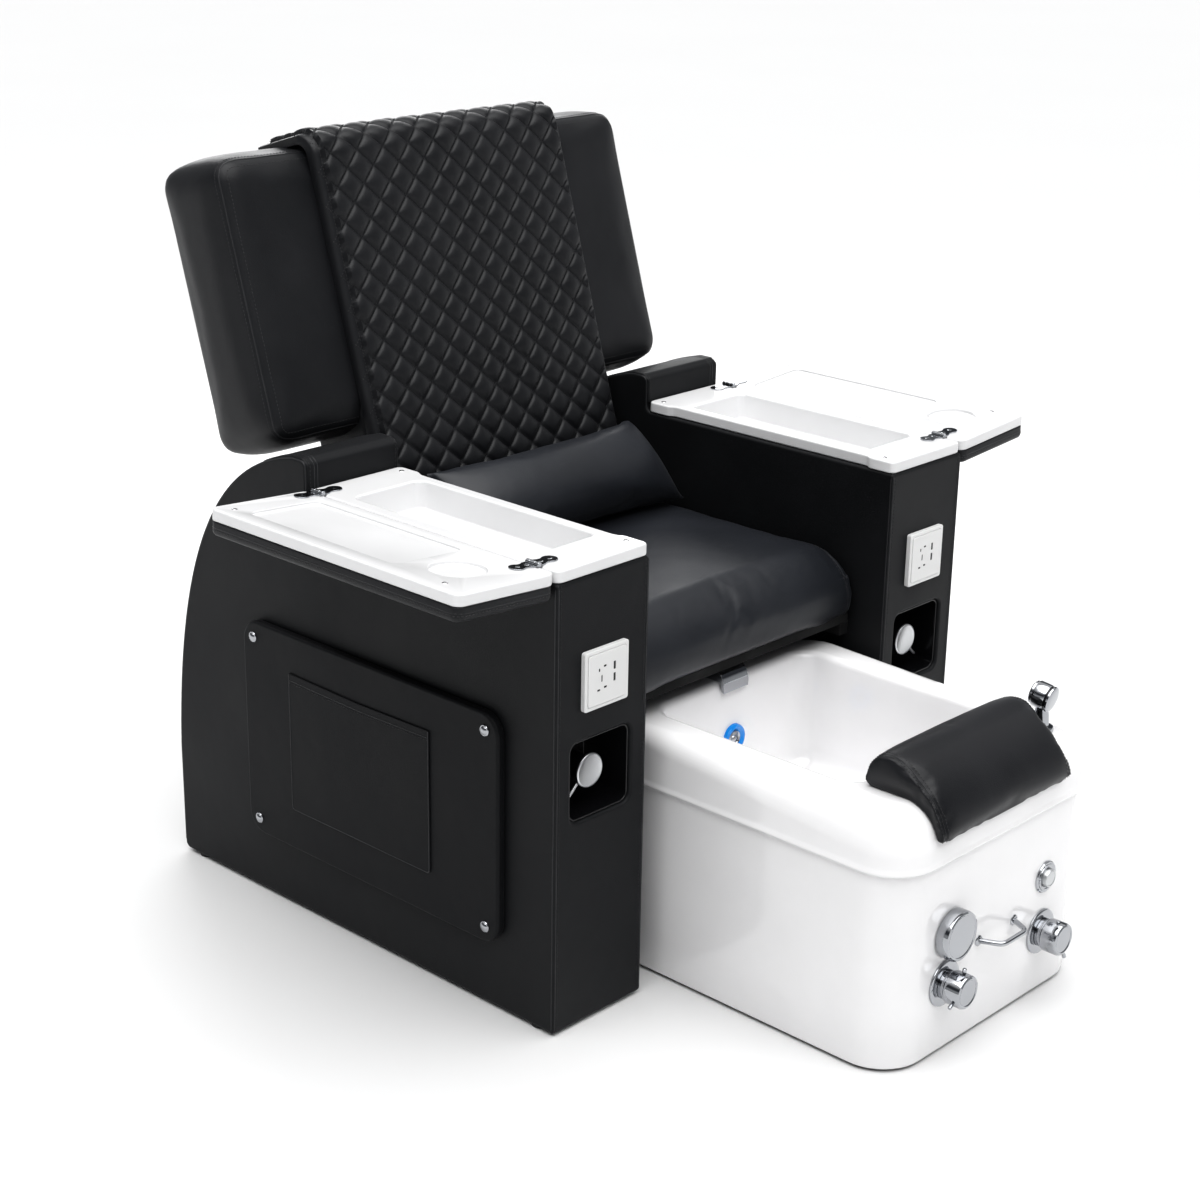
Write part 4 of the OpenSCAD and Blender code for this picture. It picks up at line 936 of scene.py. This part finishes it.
def bowl_ring(z, grow, radius):
    """A line round the bowl's wall, which leans in on its way down."""
    lean_in = bowl_lean * max(0, min(1, (rim_top - z) / (rim_top - bowl_floor)))
    x, front, rear = bowl_half - lean_in + grow, bowl_front + lean_in - grow, bowl_rear - lean_in + grow
    return round_ring([(x - radius, rear - radius, z, radius), (radius - x, rear - radius, z, radius),
                       (radius - x, front + radius, z, radius), (x - radius, front + radius, z, radius)])


def drain_ring(ring, share, z):
    """A line of the bowl's floor, part of the way to the round drain hole."""
    found = []
    for x, y, _ in ring:
        way = math.atan2(y - drain_y, x)
        found.append((x + (drain_r * math.cos(way) - x) * share,
                      y + (drain_y + drain_r * math.sin(way) - y) * share, z))
    return found


four_corners = ((1, rim_corner_rear), (-1, rim_corner_rear), (-1, rim_corner_front), (1, rim_corner_front))
rim_bead = ((seam, 66), (seam, 70.6), (303.4, 71.9), (305.4, 72.3), (307.6, 71.8), (310, 70.6),
            (314, rim_corner))
rim_rings = [round_ring([(x * (tub_half - rim_corner), y, z, r) for x, y in four_corners])
             for z, r in rim_bead]
rim_rings += [rim_ring(a, 60, 24) for a in (0, 5, 12, 20, 28, 36, 44, 52, 60, 68, 76, 83, 90)]
for a in (0, 15, 30, 45, 60, 75, 90):
    grow = lip_round * (1 - math.sin(math.radians(a)))
    drop = lip_round * (1 - math.cos(math.radians(a)))
    rim_rings.append(bowl_ring(rim_top - drop, grow, bowl_corner + grow))
rim_rings += [bowl_ring(z, 0, bowl_corner) for z in (350, 320, 290, 260, bowl_floor + floor_round)]
for a in (15, 30, 45, 60, 75, 90):
    shrink = floor_round * (1 - math.cos(math.radians(a)))
    rise = floor_round * (1 - math.sin(math.radians(a)))
    rim_rings.append(bowl_ring(bowl_floor + rise, -shrink, bowl_corner - shrink))
rim_rings += [drain_ring(rim_rings[-1], share, bowl_floor + 0.2) for share in (0.25, 0.5, 0.75, 1)]
rim_rings.append([(x, y, bowl_floor - 10) for x, y, _ in rim_rings[-1]])
bowl = shell_of("basin_shell", rim_rings, 4.5)
carve(bowl, turned("jet_cut", [(0, 0), (23.5, 0), (23.5, 60), (0, 60)], (0, 66, 290), (0, 1, 0), 48))
bpy.ops.object.shade_smooth_by_angle(angle=math.radians(40))
fit(bowl, "basin", acrylic, "white_gloss", "basin_rim", "basin_bowl", place=tub_middle)

skirt_profile = ((4.3, 64), (4.8, 67), (6.5, 69), (10, 70), (90, 70), (200, 70), (290, 70), (301.9, 70))
skirt_corners = [(x * (tub_half - rim_corner - skirt_inset), y - skirt_inset * (1 if y > 0 else -1))
                 for x, y in four_corners]
skirt_rings = [round_ring([(x, y, z, r) for x, y in skirt_corners]) for z, r in skirt_profile]
skirt = shell_of("basin_skirt_shell", skirt_rings, 7)
fit(skirt, "basin", acrylic, "white_gloss", "basin_skirt", place=tub_middle)

# Waterfall spout: a bent and chromed plate on the rear of the rim, less than a hand wide. Its
# lip hangs over the bowl and has a narrow slot in its lower edge.
spout_line = [(124, 388.3), *arc(112, 399, 12, (0, 18, 36, 54, 72, 90)),
              *arc(110, 375, 28, range(97, 171, 6), 36), (83, 371), (88, 373.5), (91, 388.3)]
slot_line = [(84.6, 369), (87, 369), (87.6, 380), (90.4, 388), (88, 389), (85.4, 382)]
spout_cover = plate("spout_cover", spout_line, "x", -29, 29)
carve(spout_cover, plate("slot", slot_line, "x", -25, 25))
ease(spout_cover, 0.9, 3, 40)
fit(spout_cover, "basin", chrome, "chrome", "spout", place=tub_middle)

# Ring jet: a clear ring lit blue from behind, round a chromed nozzle head, let into the
# rear wall of the bowl.
blue_glow = gloss("blue_glow", (0.005, 0.2, 0.58), 0.12, 0.02, coat=0.5)
blue_shader = blue_glow.node_tree.nodes["Principled BSDF"]
blue_shader.inputs["Emission Color"].default_value = (0.0, 0.3, 0.95, 1)
blue_shader.inputs["Emission Strength"].default_value = 0.16
jet_spot = (0, 113, 290)
ring = turned("jet_ring", [(14, 0), (24, 0), (24, 30), (22.5, 33), (19.5, 34.5), (16.5, 33), (14, 30)],
              jet_spot, (0, -1, 0), 56)
fit(ring, "basin", blue_glow, "blue_light", "ring_jet", place=tub_middle)
jet_head = turned("jet_head", [(0, 0), (14.4, 0), (14.4, 28), (13, 31), (11.5, 30), (10.5, 27.5), (6, 29),
                               (5, 31),
                               (3, 32.4), (0, 32.6)], jet_spot, (0, -1, 0), 48)
fit(jet_head, "basin", chrome, "blue_light", place=tub_middle)

# Controls: chromed brass on the front of the skirt. Two mixing valves with flanges and pin
# levers, a drain cap and a push button in a stepped bezel.
skirt_front, lever_y, outward = -409, -441, (0, -1, 0)
valve_left, valve_right = (-104, skirt_front, 112), (137, skirt_front, 102)
button_spot = (139, skirt_front, 189)
flange_shape = [(24, 0.4), (34.3, 0.4), (34.5, 1.2), (34, 3), (32.6, 4), (30, 4.6), (27, 5), (24, 5), (12, 5),
                (12, -20), (24, -20)]
bezel_shape = [(14.6, -12), (18, -12), (18, 0), (24.4, 0), (24.5, 1.5), (23, 3.4), (20.6, 3.6), (20.2, 4.8),
               (17.6, 5), (16.6, 4.2), (14.6, 4)]
flanges = [turned("flange", flange_shape, spot, outward, 64) for spot in (valve_left, valve_right)]
flanges.append(turned("bezel", bezel_shape, button_spot, outward, 56))
fit(merge("control_rings", flanges), "basin", chrome, "chrome", "control_flanges")
cap_shape = [(0, 0), (5, 0), (5, 1.2), (33, 1.2), (36.2, 2), (37, 3.4), (37, 17.5), (36, 20.4), (33.6, 21.6),
             (31.6, 21.2), (30.6, 20.4), (18, 20.8), (0, 21)]
cap = turned("drain_cap", cap_shape, (-97, skirt_front, 188), outward, 72)
fit(cap, "drain_turn_knob", chrome, "chrome", "drain_knob")
knob_shape = [(0, 4), (17, 5.6), (21.5, 5.6), (21.5, 12), (22.6, 13), (22.6, 14.2), (21.8, 15), (24, 16),
              (24.8, 17), (24.8, 38.4), (23.6, 41), (21, 42.4), (19.6, 42), (18.8, 41.2), (8, 41.6), (0, 41.8)]
for spot, word, levers in ((valve_left, "left", ((0.05, 1, 34), (-0.87, -0.48, 34))),
                           (valve_right, "right", ((0.5, -0.87, 46), (-0.1, 1, 29)))):
    parts = [turned("knob", knob_shape, spot, outward, 64)]
    for sideways, up, reach in levers:
        pin_shape = [(0, 0), (2.4, 0), (2.4, reach - 8), (3, reach - 6), (3, reach - 1), (2.2, reach),
                     (0, reach + 0.2)]
        parts.append(turned("pin", pin_shape, (spot[0], lever_y, spot[2]), (sideways, 0, up), 20))
    fit(merge(f"valve_{word}_chrome", parts), f"valve_{word}", chrome, "chrome", f"valve_knob_{word}")
button = turned("button_chrome", [(0, -10), (13.7, -10), (13.7, 8.6), (12.6, 10.4), (11.2, 10.9),
                                  (10.4, 10.2), (0, 10.6)], button_spot, outward, 48)
fit(button, "button", satin, "chrome", "push_button")

# Pull handle: a bent steel wire with leaning legs, chromed. It is screwed to the front of the
# skirt through two small rosettes.
handle_half, handle_height = 44, 147
wire = bpy.data.curves.new("pull_handle", "CURVE")
wire.dimensions = "3D"
wire.bevel_depth = 0.004
wire.bevel_resolution = 5
wire.use_fill_caps = True
bow = [(-handle_half, skirt_front)]
bow += [bend([(-36, -426), (-31, -437), (-28, -441), (-17, -441)], k / 7) for k in range(8)]
bow += [(-x, y) for x, y in reversed(bow)]
line = wire.splines.new("POLY")
line.points.add(len(bow) - 1)
for point, (x, y) in zip(line.points, bow):
    point.co = (x / 1000, y / 1000, handle_height / 1000, 1)
pull = bpy.data.objects.new("pull_handle", wire)
bpy.context.scene.collection.objects.link(pull)
only(pull)
bpy.ops.object.convert(target="MESH")
bpy.context.object.data.shade_smooth()
rosettes = [turned("rosette", [(0, 0), (8, 0), (8, 1), (7, 2.2), (5, 2.9), (0, 3)],
                   (x, skirt_front, handle_height), outward, 32) for x in (-handle_half, handle_half)]
fit(merge("pull_handle_chrome", [pull, *rosettes]), "basin", chrome, "chrome", "handle", place=tub_middle)

# Hand shower: a chromed head on a stem that slides up out of a collar in the rim. A black
# seal shows between the head and its turned cover ring.
shower_at, spray_way = (188, -350), (0.12, -0.96, -0.2)
collar = turned("shower_collar", [(12.2, -60), (14.8, -60), (14.8, 0.2), (19, 0.2), (19, 3.4), (18, 5.4),
                                  (15.6, 6), (12.2, 6)], (*shower_at, rim_top), (0, 0, 1), 48)
fit(collar, "basin", chrome, "chrome", "shower_holder")
head_middle = (*shower_at, 440)
stem = turned("stem", [(0, 0), (10, 0), (11.9, 2), (11.9, 60), (11, 72), (9.4, 80), (9, 92), (0, 94)],
              (*shower_at, 340), (0, 0, 1), 40)
head = turned("head", [(0, -17), (12, -16.6), (16.4, -15.6), (17.6, -14), (17.6, -11), (19, -10.4),
                       (19.8, -9), (19.8, 7), (19, 8.6), (0, 8.6)], head_middle, spray_way, 56)
cover_ring = turned("cover_ring", [(0, 11.6), (19, 11.6), (19.8, 12.6), (19.4, 15), (17.6, 16.4), (12, 17),
                                   (0, 17.2)], head_middle, spray_way, 56)
fit(merge("hand_shower_chrome", [stem, head, cover_ring]), "hand_shower", chrome, "chrome", "shower_handset")
seal = turned("hand_shower_seal", [(0, 8.4), (18.4, 8.4), (18.8, 9), (18.8, 11.4), (18.4, 11.8), (0, 11.8)],
              head_middle, spray_way, 48)
fit(seal, "hand_shower", niche_plastic, "chrome")

# Foot rest: a foam pillow in black leather that is draped over the front of the rim. The
# end caps are sewn in with two rows of stitches, and the leather gathers along them.
pillow_rear = [(-292, 395), (-287, 424), (-304, 446), (-331, 445)]
pillow_front = [(-331, 445), (-358, 443), (-429, 386), (-424, 341)]
pillow_middle, fold, rim_bend, cells_x, cells_y = 3, 0.4, 61.2, 40, 32


def rest_spot(u, v, off):
    """A point of the foot rest: across, along its length and from the rim out to its crown."""
    w = (v + 1) / 2
    if w < fold:
        low, high = (-294 - 59 * w / fold, 389.2), bend(pillow_rear, w / fold)
    else:
        a = math.radians(75 * (w - fold) / (1 - fold))
        low = (-353 - rim_bend * math.sin(a), 328 + rim_bend * math.cos(a))
        high = bend(pillow_front, (w - fold) / (1 - fold))
    x = pillow_middle + (158 if off > 0 else 155) * u
    return Vector((x, low[0] + (high[0] - low[0]) * off, low[1] + (high[1] - low[1]) * off))


foot = bmesh.new()
top, base = [], []
for grid, crown in ((top, 1), (base, 0)):
    for j in range(cells_y + 1):
        v = 2 * j / cells_y - 1
        shares = [2 * i / cells_x - 1 for i in range(cells_x + 1)]
        grid.append([foot.verts.new(rest_spot(u, v, crown - 0.1 * crown * abs(u) ** 8) / 1000) for u in shares])
for grid, turn_over in ((top, False), (base, True)):
    for j in range(cells_y):
        for i in range(cells_x):
            ring = (grid[j][i], grid[j][i + 1], grid[j + 1][i + 1], grid[j + 1][i])
            foot.faces.new(ring[::-1] if turn_over else ring)
for j in range(cells_y):
    foot.faces.new((base[j][0], top[j][0], top[j + 1][0], base[j + 1][0]))
    foot.faces.new((base[j][-1], base[j + 1][-1], top[j + 1][-1], top[j][-1]))
for i in range(cells_x):
    foot.faces.new((base[0][i], base[0][i + 1], top[0][i + 1], top[0][i]))
    foot.faces.new((base[-1][i], top[-1][i], top[-1][i + 1], base[-1][i + 1]))
bmesh.ops.recalc_face_normals(foot, faces=foot.faces)
foot_rest = made_of("foot_rest_cover", foot)


def on_rim(spot, outward):
    """True on the side of the foot rest that lies on the rim."""
    down, back = Vector((0, 0.45, -1)).normalized(), Vector((0, 1, -0.6)).normalized()
    return outward.dot(down) > 0.35 or outward.dot(back) > 0.6


plump(foot_rest, 4, 6, (-158, -434, 327), (164, -284, 450), held=on_rim, calm=10)
foot_leather = leather("foot_leather", (0.0095, 0.01, 0.0118), (0.0135, 0.014, 0.0165), 0.38, 0.25, 0.2)
caps = [[rest_spot(u, v / 12 - 1, 1) for v in range(2, 25)] for u in (-0.94, 0.94)]
cap_rows = [[Vector((pillow_middle + (p.x - pillow_middle) * share, p.y, p.z)) for p in cap]
            for cap in caps for share in (0.965, 1.035)]
press(foot_rest, caps, 5, 1.6, 0.5, 9)
fit(piping("foot_rest_welts", foot_rest, caps, 0.9, 0.3, 5), "foot_rest", welt_highlight_leather, "padded_leather")
fit(sew("foot_rest_thread", foot_rest, cap_rows, 5), "foot_rest", black_thread, "padded_leather")
fit(foot_rest, "foot_rest", foot_leather, "padded_leather", "foot_pillow")

# Rear board: thin plywood under black leather, stapled behind. It closes the back between
# the arms, below the reclining back.
rear_cover = plate("rear_board_cover", rounded((-276.5, 20), (276.5, 420), 4), "y", 822, 838)
ease(rear_cover, 4, 3)
fit(rear_cover, "chair", arm_leather, "black_leather", "rear_board")

# Frame, deck, gas spring, trap, pump and rollers stay as they were cut and welded. Each
# gets its own finish: powder coat, birch plywood, hard chrome, rubber, a painted motor.


def dress(finish, *nodes):
    """Gives parts of the frame their finish."""
    for name in nodes:
        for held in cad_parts[name].material_slots:
            held.material = finish


powder_coat = gloss("powder_coat", (0.008, 0.008, 0.0085), 0.6, 0.3)
rubber = gloss("grey_rubber", (0.025, 0.025, 0.027), 0.7, 0.2)
felt = gloss("black_felt", (0.003, 0.003, 0.0032), 0.95, 0.6)
motor_paint = gloss("motor_paint", (0.05, 0.075, 0.1), 0.35, 0.1)
tube_paint = gloss("tube_paint", (0.008, 0.008, 0.009), 0.25, 0.05)
birch, birch_shader = new_finish("birch_plywood")
birch_place = node(birch, "Mapping", {"Vector": object_place(birch), "Scale": (3, 40, 260)}).outputs["Vector"]
birch_grain = node(birch, "TexNoise", {"Vector": birch_place, "Scale": 1.5, "Detail": 6,
                                       "Distortion": 0.6}).outputs["Fac"]
birch_bump = node(birch, "Bump", {"Height": birch_grain, "Strength": 0.2, "Distance": 0.0006})
birch_shader.inputs["Roughness"].default_value = 0.6
birch.node_tree.links.new(ramp(birch, birch_grain, (0.3, 0.34, 0.22, 0.12), (0.7, 0.52, 0.38, 0.22)),
                          birch_shader.inputs["Base Color"])
birch.node_tree.links.new(birch_bump.outputs["Normal"], birch_shader.inputs["Normal"])
dress(powder_coat, "seat_frame", "rear_beam", "back_frame")
dress(birch, "basin_base")
dress(felt, "seat_deck")
dress(rubber, "roller_front", "roller_rear", "glides")
dress(tube_paint, "gas_tube")
dress(chrome, "gas_rod", "drain", "stopper")
dress(motor_paint, "pump")
